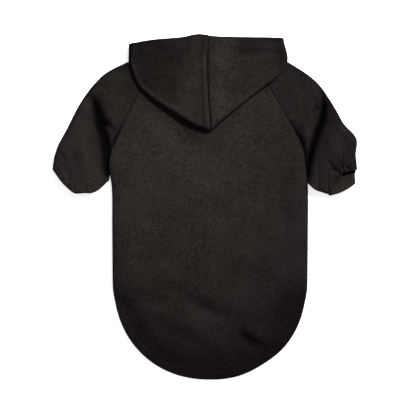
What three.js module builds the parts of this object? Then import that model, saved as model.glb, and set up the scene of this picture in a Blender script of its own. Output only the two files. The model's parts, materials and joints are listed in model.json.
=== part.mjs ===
// A small dog's hoodie of brushed fleece, lying flat with its back up and its hood laid back.
// Millimetres, +Z up, +Y towards the head, +X to the right seen from above. Each piece is a wall of
// cloth: a grid of points through the middle of the cloth, thickened to both sides and closed round
// its edges. Neighbouring pieces take their shared edge from the same seam line.
import * as THREE from "three";

// Cloth and seams
const CLOTH = 2; // thickness of the fleece
const RIB_CLOTH = 1.8; // thickness of the ribbed knit
const SEAM_GAP = 0.35; // between the pieces along a seam
const HEM_WIDTH = 9; // depth of the turned hem
const HEM_FOLD = 1; // how much the turned hem adds on the inside
const HEM_FADE = 5; // width over which the hem's inner edge runs out

// Body
const BODY_WIDTH = 214; // chest, side to side
const BODY_HEIGHT = 12; // how high the back lies
const SIDE_SEAM_HEIGHT = 6;
const BACK_LENGTH = 341; // back of the neck to the end of the tail
const TAIL_LENGTH = 110; // rounded end of the back
const TAIL_FULLNESS = 2.16; // 2 is a half ellipse, more is squarer
const TAIL_SLOPE = 77; // width over which the back slopes down to the tail's hem
const TAIL_SPREAD = 1.3; // above 1, the tail's rows are closer together where it starts
const BELLY_LENGTH = 225; // back of the neck's line to the rear hem of the belly
const ARMPIT_DEPTH = 86; // neckline down to the armpits
const SHOULDER_ROUND = 22; // width over which the back rolls down to the side seam
const BACK_SAG = 8; // how much lower than the armpits the cloth lies in the middle of the back
const BELLY_SAG = 4;
const RAGLAN_BOW = 6; // four times the bow of the raglan seams
const RAGLAN_TURN = 0.55; // share of a raglan seam from which it turns down into the side seam
const LANDING = 30; // behind the belly's hem, over which the back comes down to the surface

// Neck
const NECK_WIDTH = 172; // between the shoulder folds
const YOKE_WIDTH = 115; // between the raglan seams at the back of the neck
const FRONT_YOKE_WIDTH = 100; // between the raglan seams at the throat
const NECK_DIP = 3;
const THROAT_DEPTH = 30;
const SHOULDER_RISE = 8;

// Sleeves and cuffs
const SLEEVE_LENGTH = 146; // shoulder to the end, down the body
const SLEEVE_WIDTH = 64; // how far the sleeve stands out from the body
const SLEEVE_HEIGHT = 17.2; // at the gathered end
const LOWER_LAYER_SHORT = 0.17; // how much shorter the sleeve's lower layer is, as a share
const CUFF_WIDTH = 35; // at its seam
const CUFF_TAPER = 0.92; // width of its open end, as a share of that
const CUFF_LENGTH = 17;
const CUFF_HEIGHT = 9; // outside, lying flat
const CUFF_TURN = 13; // degrees that the cuff points away from the body
const CUFF_SLANT = 12; // degrees more that its open end is turned
const CUFF_BOW = 2; // how much longer the cuff is in its middle
const CUFF_LAP = 3; // length of the cuff inside the sleeve's end
const CUFF_RIBS = 20;
const RIB_DEPTH = 0.45;
const END_ROUND = 9; // rolled edge of the sleeve, lying flat
const NECK_SHARE = 0.26; // share of the armhole's line that is part of the neckline
const BLEND_SHARE = 0.42; // share of the sleeve over which the armhole's shape fades into the flat one
const GATHERS = 7; // across the sleeve's gathered end
const GATHER_HEIGHT = 0.9;
const GATHER_LENGTH = 24; // how far they run up the sleeve
const RETURN_CLEARANCE = 2.5; // from the hanging end to where its cloth comes back to the cuff

// Hood
const HOOD_DEPTH = 68.5; // neckline down to the tip
const HOOD_REACH = 36.5; // neckline up to the face hem
const HOOD_HEIGHT = 24; // top of the hood over the nape
const COLLAR = 5; // the hood's stand before it turns back
const NAPE_HEIGHT = 15; // top of the hood's lower layer
const HEM_DROOP = 2; // how much lower the face hem lies than the top of the hood
const HOOD_SIDE = 0.88; // share of its half width where the hood's layers start to run together
const FRONT_STAND = 10; // height of the hood's front at the throat
const THROAT_CURVE = 0.8; // below 1, the hem rises from the throat in a hollow curve

// The raglan seams' and shoulders' places on each side, as shares of the full widths above
const SIDES = {
  left: { sign: -1, yoke: 0.555, shoulder: 0.512, armpit: 0.5 },
  right: { sign: 1, yoke: 0.445, shoulder: 0.488, armpit: 0.479 },
};

// The body's side line from the armpit down to the tail, as shares of half the body's width
const SIDE_LINE = [
  { down: 0, left: 1, right: 0.958 },
  { down: 0.12, left: 1.012, right: 0.975 },
  { down: 0.3, left: 1.005, right: 0.997 },
  { down: 0.6, left: 0.998, right: 1 },
  { down: 1, left: 0.996, right: 0.997 },
];

// The sleeve's outer edge from the shoulder to the end, with the inner edge beside the body:
// out and down from the armpit, as shares of the sleeve's width and length; end is how far each
// section bows towards the cuff, high is the share of the sleeve's height
const SLEEVE_LINE = {
  left: [
    { along: 0, out: -0.26, down: -0.655, inner: 0, bow: 0, high: 0.66 },
    { along: 0.17, out: 0.1, down: -0.558, inner: 0.01, bow: 0, high: 0.7 },
    { along: 0.34, out: 0.34, down: -0.453, inner: 0.02, bow: 0, high: 0.76 },
    { along: 0.5, out: 0.55, down: -0.315, inner: 0.05, bow: 0, high: 0.82 },
    { along: 0.66, out: 0.74, down: -0.15, inner: 0.09, bow: 0.015, high: 0.88 },
    { along: 0.83, out: 0.89, down: -0.03, inner: 0.14, bow: 0.05, high: 0.95 },
    { along: 1, out: 0.97, down: 0.07, inner: 0.18, bow: 0.09, high: 1 },
  ],
  right: [
    { along: 0, out: -0.29, down: -0.65, inner: 0, bow: 0, high: 0.66 },
    { along: 0.17, out: 0.1, down: -0.548, inner: 0.01, bow: 0, high: 0.7 },
    { along: 0.34, out: 0.34, down: -0.443, inner: 0.02, bow: 0, high: 0.76 },
    { along: 0.5, out: 0.55, down: -0.29, inner: 0.05, bow: 0, high: 0.82 },
    { along: 0.66, out: 0.72, down: -0.175, inner: 0.09, bow: 0.01, high: 0.88 },
    { along: 0.83, out: 0.905, down: -0.07, inner: 0.14, bow: 0.03, high: 0.95 },
    { along: 1, out: 0.91, down: 0.05, inner: 0.18, bow: 0.05, high: 1 },
  ],
};

// The gathered end of each sleeve, seen from above, from the body (0) to the outer corner (1):
// how far down from the armpit it hangs over the cuff, as shares of the sleeve's length
const SLEEVE_END = [
  { across: 0, left: 0.245, right: 0.265 },
  { across: 0.15, left: 0.3, right: 0.3 },
  { across: 0.3, left: 0.338, right: 0.33 },
  { across: 0.42, left: 0.342, right: 0.345 },
  { across: 0.52, left: 0.35, right: 0.3 },
  { across: 0.62, left: 0.35, right: 0.21 },
  { across: 0.82, left: 0.28, right: 0.185 },
  { across: 1, left: 0.175, right: 0.165 },
];

// The middle of each cuff's seam, out and down from the armpit; the left one is tucked away
const CUFF_PLACE = {
  left: { out: 0.57, down: 0.15 },
  right: { out: 0.605, down: 0.214 },
};

// The hood's lower fold line from the tip (0) to the shoulder (1), as shares of its depth
const HOOD_FOLD = [
  { across: 0, left: 1, right: 1 },
  { across: 0.15, left: 0.925, right: 0.83 },
  { across: 0.3, left: 0.825, right: 0.68 },
  { across: 0.45, left: 0.7, right: 0.53 },
  { across: 0.6, left: 0.565, right: 0.38 },
  { across: 0.75, left: 0.42, right: 0.25 },
  { across: 0.88, left: 0.24, right: 0.12 },
  { across: 1, left: -0.08, right: -0.06 },
];

// The hood's face hem from the centre seam (0) to the shoulder (1), as shares of its reach
const HOOD_HEM = [
  { across: 0, left: 1.02, right: 1 },
  { across: 0.13, left: 1.05, right: 0.98 },
  { across: 0.35, left: 0.96, right: 0.97 },
  { across: 0.7, left: 0.9, right: 0.96 },
  { across: 1, left: 0.78, right: 0.95 },
];

// Soft folds and dents, from one end to the other: x and wide as shares of the body's width, y of the
// back's length from the neckline, and deep of the body's height. A negative deep is a ridge.
const BACK_FOLDS = [
  { x0: 0.13, y0: -0.855, x1: 0.27, y1: -0.92, wide: 0.037, deep: 0.14 },
  { x0: 0.17, y0: -0.84, x1: 0.28, y1: -0.885, wide: 0.037, deep: -0.1 },
  { x0: -0.14, y0: -0.735, x1: 0.01, y1: -0.765, wide: 0.042, deep: 0.1 },
  { x0: -0.2, y0: -0.77, x1: 0.05, y1: -0.86, wide: 0.042, deep: -0.09 },
  { x0: 0.36, y0: -0.36, x1: 0.36, y1: -0.56, wide: 0.042, deep: 0.09 },
  { x0: -0.3, y0: -0.64, x1: -0.12, y1: -0.69, wide: 0.042, deep: -0.07 },
];

// The deep valley down each sleeve: out and down from the armpit as in the sleeve's outline, wide as
// shares of the sleeve's width and deep of its height
const SLEEVE_FOLDS = {
  left: [
    { x0: 0.39, y0: -0.36, x1: 0.22, y1: -0.17, wide: 0.09, deep: 0.22 },
    { x0: 0.22, y0: -0.17, x1: 0.09, y1: 0.07, wide: 0.1, deep: 0.31 },
    { x0: 0.09, y0: 0.07, x1: 0.07, y1: 0.2, wide: 0.1, deep: 0.31 },
    { x0: 0.22, y0: -0.17, x1: -0.02, y1: -0.14, wide: 0.09, deep: 0.11 },
  ],
  right: [
    { x0: 0.33, y0: -0.4, x1: 0.33, y1: -0.28, wide: 0.09, deep: 0.22 },
    { x0: 0.33, y0: -0.28, x1: 0.08, y1: 0, wide: 0.11, deep: 0.33 },
    { x0: 0.08, y0: 0, x1: 0.05, y1: 0.14, wide: 0.1, deep: 0.31 },
    { x0: 0.22, y0: -0.36, x1: 0.18, y1: -0.26, wide: 0.08, deep: 0.1 },
  ],
};

// Derived levels of the cloth's middle
const HALF = CLOTH / 2;
const FLOOR = HALF;
const TOP = BODY_HEIGHT - HALF;
const SEAM = SIDE_SEAM_HEIGHT;
const BELLY_ROUND = SEAM - FLOOR;
const FACE_TO_FACE = CLOTH + SEAM_GAP; // middle to middle, where two walls lie side by side
const CORNER = THREE.MathUtils.degToRad(50); // where the tail's last row meets its sides

const { lerp, clamp, smoothstep, degToRad } = THREE.MathUtils;
const vec = (x, y, z) => new THREE.Vector3(x, y, z);
const square = (value) => value * value;
const count = (n) => Array.from({ length: n }, (_, index) => index);

// Quarter ellipse: 0 at the edge with an upright start, 1 from the width onwards.
const roll = (distance, width) => Math.sqrt(1 - square(1 - clamp(distance / width, 0, 1)));

// A smooth curve through a table's column, by cubic pieces that keep the rows' slopes.
function read(table, key, column, at) {
  const last = table.length - 1;
  let i = 0;
  while (i < last - 1 && at > table[i + 1][key]) i += 1;
  const slope = (k) => {
    const a = table[Math.max(k - 1, 0)];
    const b = table[Math.min(k + 1, last)];
    return (b[column] - a[column]) / (b[key] - a[key]);
  };
  const span = table[i + 1][key] - table[i][key];
  const t = clamp((at - table[i][key]) / span, 0, 1);
  const rest = 1 - t;
  return (
    table[i][column] * rest * rest * (1 + 2 * t) +
    slope(i) * span * t * rest * rest +
    table[i + 1][column] * t * t * (3 - 2 * t) -
    slope(i + 1) * span * t * t * rest
  );
}

// How far the folds of a table press the cloth down at a point, each a soft trough along its line.
// The units are the lengths that the table's shares are of.
function foldDepth(folds, x, y, unitX, unitY, unitDeep) {
  let total = 0;
  for (const fold of folds) {
    const start = new THREE.Vector2(fold.x0 * unitX, fold.y0 * unitY);
    const run = new THREE.Vector2(fold.x1 * unitX, fold.y1 * unitY).sub(start);
    const at = new THREE.Vector2(x, y).sub(start);
    const share = clamp(at.dot(run) / run.lengthSq(), 0, 1);
    const away = at.sub(run.multiplyScalar(share)).length();
    total += fold.deep * unitDeep * Math.exp(-square(away / (fold.wide * unitX)));
  }
  return total;
}

// A wall of cloth round a grid of middle points. Rows run along the piece and columns across it.
// facing turns the outer face over, closed joins the last column to the first, normal may set the
// direction at a point, and outer and inner give the thickness to each side.
function clothWall(grid, { facing = 1, closed = false, normal = (j, i, free) => free, outer, inner } = {}) {
  const rows = grid.length;
  const columns = grid[0].length;
  const spans = closed ? columns : columns - 1;
  const sums = grid.map((row) => row.map(() => vec(0, 0, 0)));
  for (let j = 0; j + 1 < rows; j += 1) {
    for (let i = 0; i < spans; i += 1) {
      const k = (i + 1) % columns;
      const across = grid[j + 1][i].clone().sub(grid[j][k]);
      const area = across.cross(grid[j + 1][k].clone().sub(grid[j][i])).multiplyScalar(facing);
      for (const sum of [sums[j][i], sums[j][k], sums[j + 1][i], sums[j + 1][k]]) sum.add(area);
    }
  }
  const positions = [];
  for (const side of [1, -1]) {
    grid.forEach((row, j) =>
      row.forEach((point, i) => {
        const direction = normal(j, i, sums[j][i].normalize());
        const thickness = (side > 0 ? outer : inner)?.(j, i) ?? HALF;
        positions.push(...point.clone().addScaledVector(direction, side * thickness));
      }),
    );
  }
  const triangles = [];
  const shell = rows * columns;
  const face = (...corners) => triangles.push(...(facing > 0 ? corners : corners.reverse()));
  const rim = (a, b) => {
    face(a, b, b + shell);
    face(a, b + shell, a + shell);
  };
  for (let j = 0; j + 1 < rows; j += 1) {
    for (let i = 0; i < spans; i += 1) {
      const k = (i + 1) % columns;
      const [a, b, c, d] = [j * columns + i, j * columns + k, (j + 1) * columns + k, (j + 1) * columns + i];
      const falling = grid[j][i].distanceTo(grid[j + 1][k]) <= grid[j][k].distanceTo(grid[j + 1][i]);
      for (const [p, q, r] of falling ? [[a, d, c], [a, c, b]] : [[a, d, b], [b, d, c]]) {
        face(p, q, r);
        face(p + shell, r + shell, q + shell);
      }
    }
  }
  for (let i = 0; i < spans; i += 1) {
    const k = (i + 1) % columns;
    rim(i, k);
    rim((rows - 1) * columns + k, (rows - 1) * columns + i);
  }
  if (!closed) {
    for (let j = 0; j + 1 < rows; j += 1) {
      rim((j + 1) * columns, j * columns);
      rim(j * columns + columns - 1, (j + 1) * columns + columns - 1);
    }
  }
  const geometry = new THREE.BufferGeometry();
  geometry.setAttribute("position", new THREE.Float32BufferAttribute(positions, 3));
  geometry.setIndex(triangles);
  geometry.computeVertexNormals();
  return geometry;
}

// Distances from the edge to the middle of a panel: close together over the rolled edge, then even.
function edgeSteps(halfWidth, rolled, edgeCount, flatCount) {
  const round = count(edgeCount).map((k) => rolled * (1 - Math.cos((k / edgeCount) * (Math.PI / 2))));
  const flat = count(flatCount + 1).map((k) => lerp(rolled, halfWidth, k / flatCount));
  return [...round, ...flat];
}

// The neck ring. Seen from above it is an oval: the nape over the top, the throat below it.
const shoulderOf = (side) => NECK_WIDTH * side.shoulder - HALF;

function neckline(side, x, isFront) {
  const shoulder = shoulderOf(side);
  const bend = square(x / shoulder);
  const low = isFront ? THROAT_DEPTH : NECK_DIP;
  const y = lerp(-low, SHOULDER_RISE, bend);
  const distance = shoulder - x;
  const z = isFront
    ? lerp(SEAM, FLOOR, roll(distance, BELLY_ROUND))
    : lerp(SEAM, TOP, roll(distance, SHOULDER_ROUND));
  return vec(x, y, z);
}

// Direction out of the cloth at the neck ring: upright on the flat, level at the shoulder fold.
function neckNormal(side, x, isFront) {
  const width = isFront ? BELLY_ROUND : SHOULDER_ROUND;
  const height = isFront ? FLOOR - SEAM : TOP - SEAM;
  const q = 1 - clamp((shoulderOf(side) - x) / width, 0, 1);
  return vec(q / width, 0, Math.sqrt(1 - q * q) / height).normalize();
}

// A raglan seam from the neckline (0) to the armpit (1). It lies level with the panel and turns
// down into the side seam near the armpit, where the two walls come to lie face to face.
function raglan(side, share, isFront) {
  const start = neckline(side, isFront ? FRONT_YOKE_WIDTH * side.armpit : YOKE_WIDTH * side.yoke, isFront);
  const end = vec(BODY_WIDTH * side.armpit - HALF, -ARMPIT_DEPTH, SEAM);
  const turn = smoothstep(share, RAGLAN_TURN, 1);
  const run = end.clone().sub(start).setZ(0).normalize();
  const out = vec(-run.y, run.x, 0);
  const point = start.clone().lerp(end, share).addScaledVector(out, RAGLAN_BOW * share * (1 - share));
  point.z = lerp(start.z, end.z, turn);
  return { point, out, turn };
}

// Direction out of the cloth along a raglan seam: leaning out on the body, in on the sleeve.
function raglanNormal({ out, turn }, isFront, lean) {
  const angle = turn * (Math.PI / 2);
  const upright = isFront ? -1 : 1;
  return vec(0, 0, upright * Math.cos(angle)).addScaledVector(out, lean * Math.sin(angle));
}

// Half the body's width at a height, from the middle line to the middle of the cloth.
function sideLine(name, y) {
  const share = (-y - ARMPIT_DEPTH) / (BACK_LENGTH - TAIL_LENGTH - ARMPIT_DEPTH);
  return (BODY_WIDTH / 2) * read(SIDE_LINE, "down", name, share) - HALF;
}

// The tail's outline is a full half oval: its reach at a share of its half width, its points by angle,
// and how far a place lies from its middle, 1 on the outline.
const tailReach = (share) => (1 - share ** TAIL_FULLNESS) ** (1 / TAIL_FULLNESS);
const tailPlace = (angle) => [Math.sin(angle) ** (2 / TAIL_FULLNESS), Math.cos(angle) ** (2 / TAIL_FULLNESS)];
const tailRound = (across, down) => (across ** TAIL_FULLNESS + down ** TAIL_FULLNESS) ** (1 / TAIL_FULLNESS);

const mirror = (side, point) => vec(side.sign * point.x, point.y, point.z);

// One half of a row: runs from the side edge to the middle, mirrored for the left.
function fullRow(half) {
  const left = half("left").map((point) => mirror(SIDES.left, point));
  const right = half("right").reverse();
  return [...left, ...right.slice(1)];
}

function backPanel() {
  const raglanRows = 6;
  const sideRows = 9;
  const tailRows = 9;
  const edgeCount = 5;
  const flatCount = 7;
  const tailStart = -(BACK_LENGTH - TAIL_LENGTH);
  const [cornerAcross, cornerDown] = tailPlace(CORNER);
  const lastSag = TAIL_LENGTH * (1 - cornerDown);
  const arc = (u) => (tailReach(u * cornerAcross) - cornerDown) / (1 - cornerDown);
  const tailHalf = (name) => sideLine(name, tailStart);
  const tailDrop = TAIL_LENGTH - HALF;

  // Each station gives the row's edge and how the row sags towards the tail in the middle.
  const stations = [];
  const sideY = (k) => lerp(-ARMPIT_DEPTH, tailStart, k / sideRows);
  const tailAngle = (k) => lerp(Math.PI / 2, CORNER, (k / tailRows) ** TAIL_SPREAD);
  count(raglanRows).forEach((k) => stations.push({ kind: "raglan", share: k / raglanRows }));
  count(sideRows).forEach((k) => stations.push({ kind: "side", y: sideY(k) }));
  count(tailRows + 1).forEach((k) => stations.push({ kind: "tail", angle: tailAngle(k) }));

  function edgeOf(name, station) {
    if (station.kind === "raglan") return raglan(SIDES[name], station.share, false).point;
    if (station.kind === "side") return vec(sideLine(name, station.y), station.y, SEAM);
    const [across, down] = tailPlace(station.angle);
    return vec(tailHalf(name) * across, tailStart - tailDrop * down, SEAM);
  }
  // How far the edge has come down from the side seam to the surface, behind the belly's hem.
  const landed = (y) => smoothstep(-y, BELLY_LENGTH + CLOTH, BELLY_LENGTH + LANDING);
  const hemLevel = FLOOR + HEM_FOLD;

  function halfRow(name, station, index) {
    const edge = edgeOf(name, station);
    const low = station.kind === "raglan" ? edge.z : lerp(SEAM + SEAM_GAP / 2, hemLevel, landed(edge.y));
    const sagShare = smoothstep(index, raglanRows, stations.length - 1);
    const sag = lerp(BACK_SAG, lastSag, sagShare);
    return edgeSteps(edge.x, SHOULDER_ROUND, edgeCount, flatCount).map((distance) => {
      const x = edge.x - distance;
      const u = x / edge.x;
      let y = edge.y - sag * arc(u);
      if (station.kind === "raglan") {
        const side = SIDES[name];
        const neckY = (share) => neckline(side, share * YOKE_WIDTH * side.yoke, false).y;
        const bow = edge.y - lerp(neckY(1), -ARMPIT_DEPTH, station.share);
        y = lerp(neckY(u), -ARMPIT_DEPTH - BACK_SAG * arc(u), station.share) + bow;
      }
      // The roll at the side becomes a long soft slope over the tail.
      const round = tailRound(x / tailHalf(name), Math.max(tailStart - y, 0) / tailDrop);
      const tail = landed(y);
      const inFromHem = Math.max(1 - round, 0) * tailHalf(name);
      const steep = roll(distance, SHOULDER_ROUND);
      const soft = smoothstep(inFromHem, 0, lerp(SHOULDER_ROUND, TAIL_SLOPE, tail));
      const rise = lerp(steep, soft, tail);
      const fold = foldDepth(BACK_FOLDS, SIDES[name].sign * x, y, BODY_WIDTH, BACK_LENGTH, BODY_HEIGHT);
      const z = lerp(low, TOP, rise) - fold * smoothstep(rise, 0.1, 0.7);
      return vec(x, y, z);
    });
  }
  const grid = stations.map((station, index) => fullRow((name) => halfRow(name, station, index)));
  const lastColumn = grid[0].length - 1;

  function normal(j, i, free) {
    const station = stations[j];
    const name = i < lastColumn / 2 ? "left" : "right";
    const side = SIDES[name];
    if (j === 0) return mirror(side, neckNormal(side, Math.abs(grid[0][i].x), false));
    if (i !== 0 && i !== lastColumn) return free;
    if (station.kind === "raglan") {
      return mirror(side, raglanNormal(raglan(side, station.share, false), false, 1));
    }
    const tail = landed(grid[j][i].y);
    return tail < 0.5 ? vec(side.sign * (1 - tail), 0, tail).normalize() : free;
  }
  function inner(j, i) {
    const { x, y } = grid[j][i];
    const half = x < 0 ? tailHalf("left") : tailHalf("right");
    const round = tailRound(Math.abs(x) / half, Math.max(tailStart - y, 0) / tailDrop);
    const inFromHem = Math.max(1 - round, 0) * half;
    const isHem = landed(y) * (1 - smoothstep(inFromHem, HEM_WIDTH - HEM_FADE / 2, HEM_WIDTH + HEM_FADE / 2));
    return HALF + HEM_FOLD * isHem;
  }
  return clothWall(grid, { normal, inner });
}

function bellyPanel() {
  const raglanRows = 5;
  const sideRows = 6;
  const edgeCount = 3;
  const flatCount = 6;
  const stations = [];
  count(raglanRows).forEach((k) => stations.push({ kind: "raglan", share: k / raglanRows }));
  const sideY = (k) => lerp(-ARMPIT_DEPTH, -BELLY_LENGTH, k / (sideRows - 1));
  count(sideRows).forEach((k) => stations.push({ kind: "side", y: sideY(k) }));

  function halfRow(name, station) {
    const side = SIDES[name];
    const isRaglan = station.kind === "raglan";
    const edge = isRaglan
      ? raglan(side, station.share, true).point
      : vec(sideLine(name, station.y), station.y, SEAM - SEAM_GAP / 2);
    return edgeSteps(edge.x, BELLY_ROUND, edgeCount, flatCount).map((distance) => {
      const x = edge.x - distance;
      const u = x / edge.x;
      const settled = -ARMPIT_DEPTH - BELLY_SAG * (1 - u * u);
      const front = neckline(side, FRONT_YOKE_WIDTH * side.armpit, true).y;
      const bow = edge.y - lerp(front, -ARMPIT_DEPTH, station.share);
      const y = isRaglan
        ? lerp(neckline(side, u * FRONT_YOKE_WIDTH * side.armpit, true).y, settled, station.share) + bow
        : edge.y - BELLY_SAG * (1 - u * u);
      return vec(x, y, lerp(edge.z, FLOOR, roll(distance, BELLY_ROUND)));
    });
  }
  const grid = stations.map((station) => fullRow((name) => halfRow(name, station)));
  const lastColumn = grid[0].length - 1;

  function normal(j, i, free) {
    const station = stations[j];
    const side = i < lastColumn / 2 ? SIDES.left : SIDES.right;
    if (i !== 0 && i !== lastColumn) return free;
    if (station.kind === "raglan") {
      return mirror(side, raglanNormal(raglan(side, station.share, true), true, 1));
    }
    return vec(side.sign, 0, 0);
  }
  const isHem = (j, i) => j === grid.length - 1 && i > edgeCount && i < lastColumn - edgeCount;
  return clothWall(grid, { facing: -1, normal, inner: (j, i) => HALF + (isHem(j, i) ? HEM_FOLD : 0) });
}

// The cuff's place: the middle of its seam, the way it points and the way across it at its seam and
// at its open end, with its levels. The sleeve's end lies round it.
function cuffFrame(name) {
  const side = SIDES[name];
  const heading = (degrees) => vec(Math.cos(degToRad(degrees)), Math.sin(degToRad(degrees)), 0);
  const along = heading(CUFF_TURN - 90);
  const across = heading(CUFF_TURN);
  const endAcross = heading(CUFF_TURN + CUFF_SLANT).multiplyScalar(CUFF_TAPER);
  const armpit = vec(BODY_WIDTH * side.armpit, -ARMPIT_DEPTH, 0);
  const { out, down } = CUFF_PLACE[name];
  const centre = armpit.add(vec(SLEEVE_WIDTH * out, -SLEEVE_LENGTH * down, 0));
  const bottom = FLOOR + FACE_TO_FACE;
  const top = bottom + CUFF_HEIGHT - CLOTH;
  return { side, along, across, endAcross, centre, bottom, top };
}

// A flattened ring: round ends of a radius and level top and bottom. across runs from the inner
// end (-1) to the outer end (1), lift from the bottom (0) to the top (1).
function ringPlaces(edgeCount, flatCount) {
  const places = [];
  const round = (k) => (k / edgeCount) * (Math.PI / 2);
  count(edgeCount).forEach((k) => places.push({ end: -1, angle: round(k), top: true }));
  count(flatCount + 1).forEach((k) => places.push({ flat: k / flatCount, top: true }));
  count(edgeCount).reverse().forEach((k) => places.push({ end: 1, angle: round(k), top: true }));
  count(edgeCount).slice(1).forEach((k) => places.push({ end: 1, angle: round(k), top: false }));
  count(flatCount + 1).reverse().forEach((k) => places.push({ flat: k / flatCount, top: false }));
  count(edgeCount).slice(1).reverse().forEach((k) => places.push({ end: -1, angle: round(k), top: false }));
  return places;
}

// Where a ring place lies: in is the distance from the nearer end, as a share of the full width.
function ringShare(place, rolled, width) {
  const half = place.top ? 0.5 : -0.5;
  if (place.flat !== undefined) {
    return { across: lerp(rolled / width, 1 - rolled / width, place.flat), lift: 0.5 + half };
  }
  const distance = (rolled * (1 - Math.cos(place.angle))) / width;
  return { across: place.end < 0 ? distance : 1 - distance, lift: 0.5 + half * Math.sin(place.angle) };
}

function sleeve(name) {
  const side = SIDES[name];
  const mainRows = 8;
  const turnRows = 4;
  const places = ringPlaces(3, 2 * GATHERS);
  const cuff = cuffFrame(name);
  const puffTop = SLEEVE_HEIGHT - HALF;
  const returnTop = cuff.top + FACE_TO_FACE;
  const turnRadius = (puffTop - returnTop) / 2;
  const armpit = vec(BODY_WIDTH * side.armpit, -ARMPIT_DEPTH, 0);
  const line = (column, along) => read(SLEEVE_LINE[name], "along", column, along);

  // The ends of the section at a share of the sleeve's length: beside the body, and outside.
  function sectionEnds(along) {
    const y = armpit.y - SLEEVE_LENGTH * line("inner", along);
    const insideX = Math.max(sideLine(name, y), armpit.x - HALF) + FACE_TO_FACE + SEAM_GAP;
    const outside = vec(
      armpit.x + SLEEVE_WIDTH * line("out", along) - HALF,
      armpit.y - SLEEVE_LENGTH * line("down", along),
      0,
    );
    return [vec(insideX, y, 0), outside];
  }
  function sectionPoint(along, across) {
    const [inside, outside] = sectionEnds(along);
    const point = inside.clone().lerp(outside, across);
    point.y -= SLEEVE_LENGTH * line("bow", along) * 4 * across * (1 - across);
    return point.setZ(0);
  }
  // The lower layer is shorter than the upper one, which hangs over the cuff.
  function layerPoint(along, across, lift) {
    const below = sectionPoint(along - LOWER_LAYER_SHORT * square(along), across);
    return below.lerp(sectionPoint(along, across), smoothstep(lift, 0, 0.5));
  }
  function endPoint(across) {
    const [inside, outside] = sectionEnds(1);
    const x = lerp(inside.x, outside.x + CLOTH, across);
    return vec(x, armpit.y - SLEEVE_LENGTH * read(SLEEVE_END, "across", name, across) + HALF, 0);
  }
  function ringPoint(across) {
    const half = CUFF_WIDTH / 2 - RIB_CLOTH / 2 + FACE_TO_FACE;
    return cuff.centre
      .clone()
      .addScaledVector(cuff.across, lerp(-half, half, across))
      .addScaledVector(cuff.along, CUFF_LAP)
      .setZ(0);
  }
  // The seam line round the armhole and the neckline, in the order of the ring's places.
  function armholePoint(across, isFront) {
    const inward = 1 - across;
    const yoke = isFront ? FRONT_YOKE_WIDTH * side.armpit : YOKE_WIDTH * side.yoke;
    if (inward < NECK_SHARE) {
      const first = raglan(side, 0, isFront);
      const x = lerp(shoulderOf(side), yoke + SEAM_GAP * first.out.x, inward / NECK_SHARE);
      return { point: neckline(side, x, isFront), normal: neckNormal(side, x, isFront) };
    }
    const seam = raglan(side, (inward - NECK_SHARE) / (1 - NECK_SHARE), isFront);
    const away = SEAM_GAP + CLOTH * Math.sin(seam.turn * (Math.PI / 2));
    const point = seam.point.clone().addScaledVector(seam.out, away);
    point.y = Math.min(point.y, neckline(side, point.x, isFront).y);
    return { point, normal: raglanNormal(seam, isFront, -1) };
  }

  const armhole = places.map((place) => {
    const { across } = ringShare(place, END_ROUND, ARMPIT_DEPTH);
    return armholePoint(across, !place.top);
  });
  const mainGrid = count(mainRows + 1).map((j) => {
    const along = j / mainRows;
    const [inside, outside] = sectionEnds(along);
    const width = inside.distanceTo(outside.clone().setZ(0));
    const top = SLEEVE_HEIGHT * line("high", along) - HALF;
    return places.map((place) => {
      const { across, lift } = ringShare(place, END_ROUND, width);
      const point = layerPoint(along, across, lift);
      const [out, up] = [point.x - armpit.x, point.y - armpit.y];
      const fold = foldDepth(SLEEVE_FOLDS[name], out, up, SLEEVE_WIDTH, -SLEEVE_LENGTH, SLEEVE_HEIGHT);
      point.z = lerp(FLOOR, top, lift) - fold * smoothstep(lift, 0.5, 1);
      return point;
    });
  });
  const first = mainGrid[0].map((point) => point.clone());
  mainGrid.forEach((row, j) => {
    const fade = 1 - smoothstep(j / mainRows, 0, BLEND_SHARE);
    row.forEach((point, i) => point.addScaledVector(armhole[i].point.clone().sub(first[i]), fade));
  });
  // The gathered end: the upper layer hangs over the cuff, turns under and comes back to it.
  const endGrid = count(turnRows + 2).map((k) => {
    const angle = Math.min(k / turnRows, 1) * Math.PI;
    const isLast = k === turnRows + 1;
    const top = isLast ? returnTop : returnTop + turnRadius * (1 + Math.cos(angle));
    return places.map((place) => {
      const full = ringShare(place, END_ROUND, SLEEVE_WIDTH);
      const small = ringShare(place, (returnTop - FLOOR) / 2, CUFF_WIDTH + 2 * FACE_TO_FACE);
      const share = (k + 1) / (turnRows + 2);
      const below = layerPoint(1, full.across, 0).lerp(ringPoint(small.across), share);
      const above = endPoint(full.across).addScaledVector(cuff.along, -turnRadius * (1 - Math.sin(angle)));
      if (isLast) {
        const room = above.dot(cuff.along) - RETURN_CLEARANCE;
        above.copy(ringPoint(small.across));
        above.addScaledVector(cuff.along, Math.min(room - above.dot(cuff.along), 0));
      }
      const { lift } = isLast ? small : full;
      const point = below.lerp(above, smoothstep(lift, 0, 0.5));
      point.z = lerp(FLOOR, top, lift);
      return point;
    });
  });
  // Gathers: ripples across the upper layer that fade away from the hanging end.
  const hangs = places.map((place) => endPoint(ringShare(place, END_ROUND, SLEEVE_WIDTH).across));
  const gathered = (point, i) => {
    const away = Math.hypot(point.x - hangs[i].x, point.y - hangs[i].y);
    const { top, flat = 0 } = places[i];
    const isRaised = top && Math.round(flat * 2 * GATHERS) % 2 === 1;
    const height = isRaised ? GATHER_HEIGHT * Math.exp(-square(away / GATHER_LENGTH)) : 0;
    return point.clone().setZ(point.z + height);
  };
  const rows = [...mainGrid, ...endGrid.slice(0, -1)].map((row) => row.map(gathered));
  const grid = [...rows, endGrid.at(-1)].map((row) => row.map((point) => mirror(side, point)));
  const normal = (j, i, free) => (j === 0 ? mirror(side, armhole[i].normal) : free);
  return clothWall(grid, { closed: true, facing: side.sign, normal });
}

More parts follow.
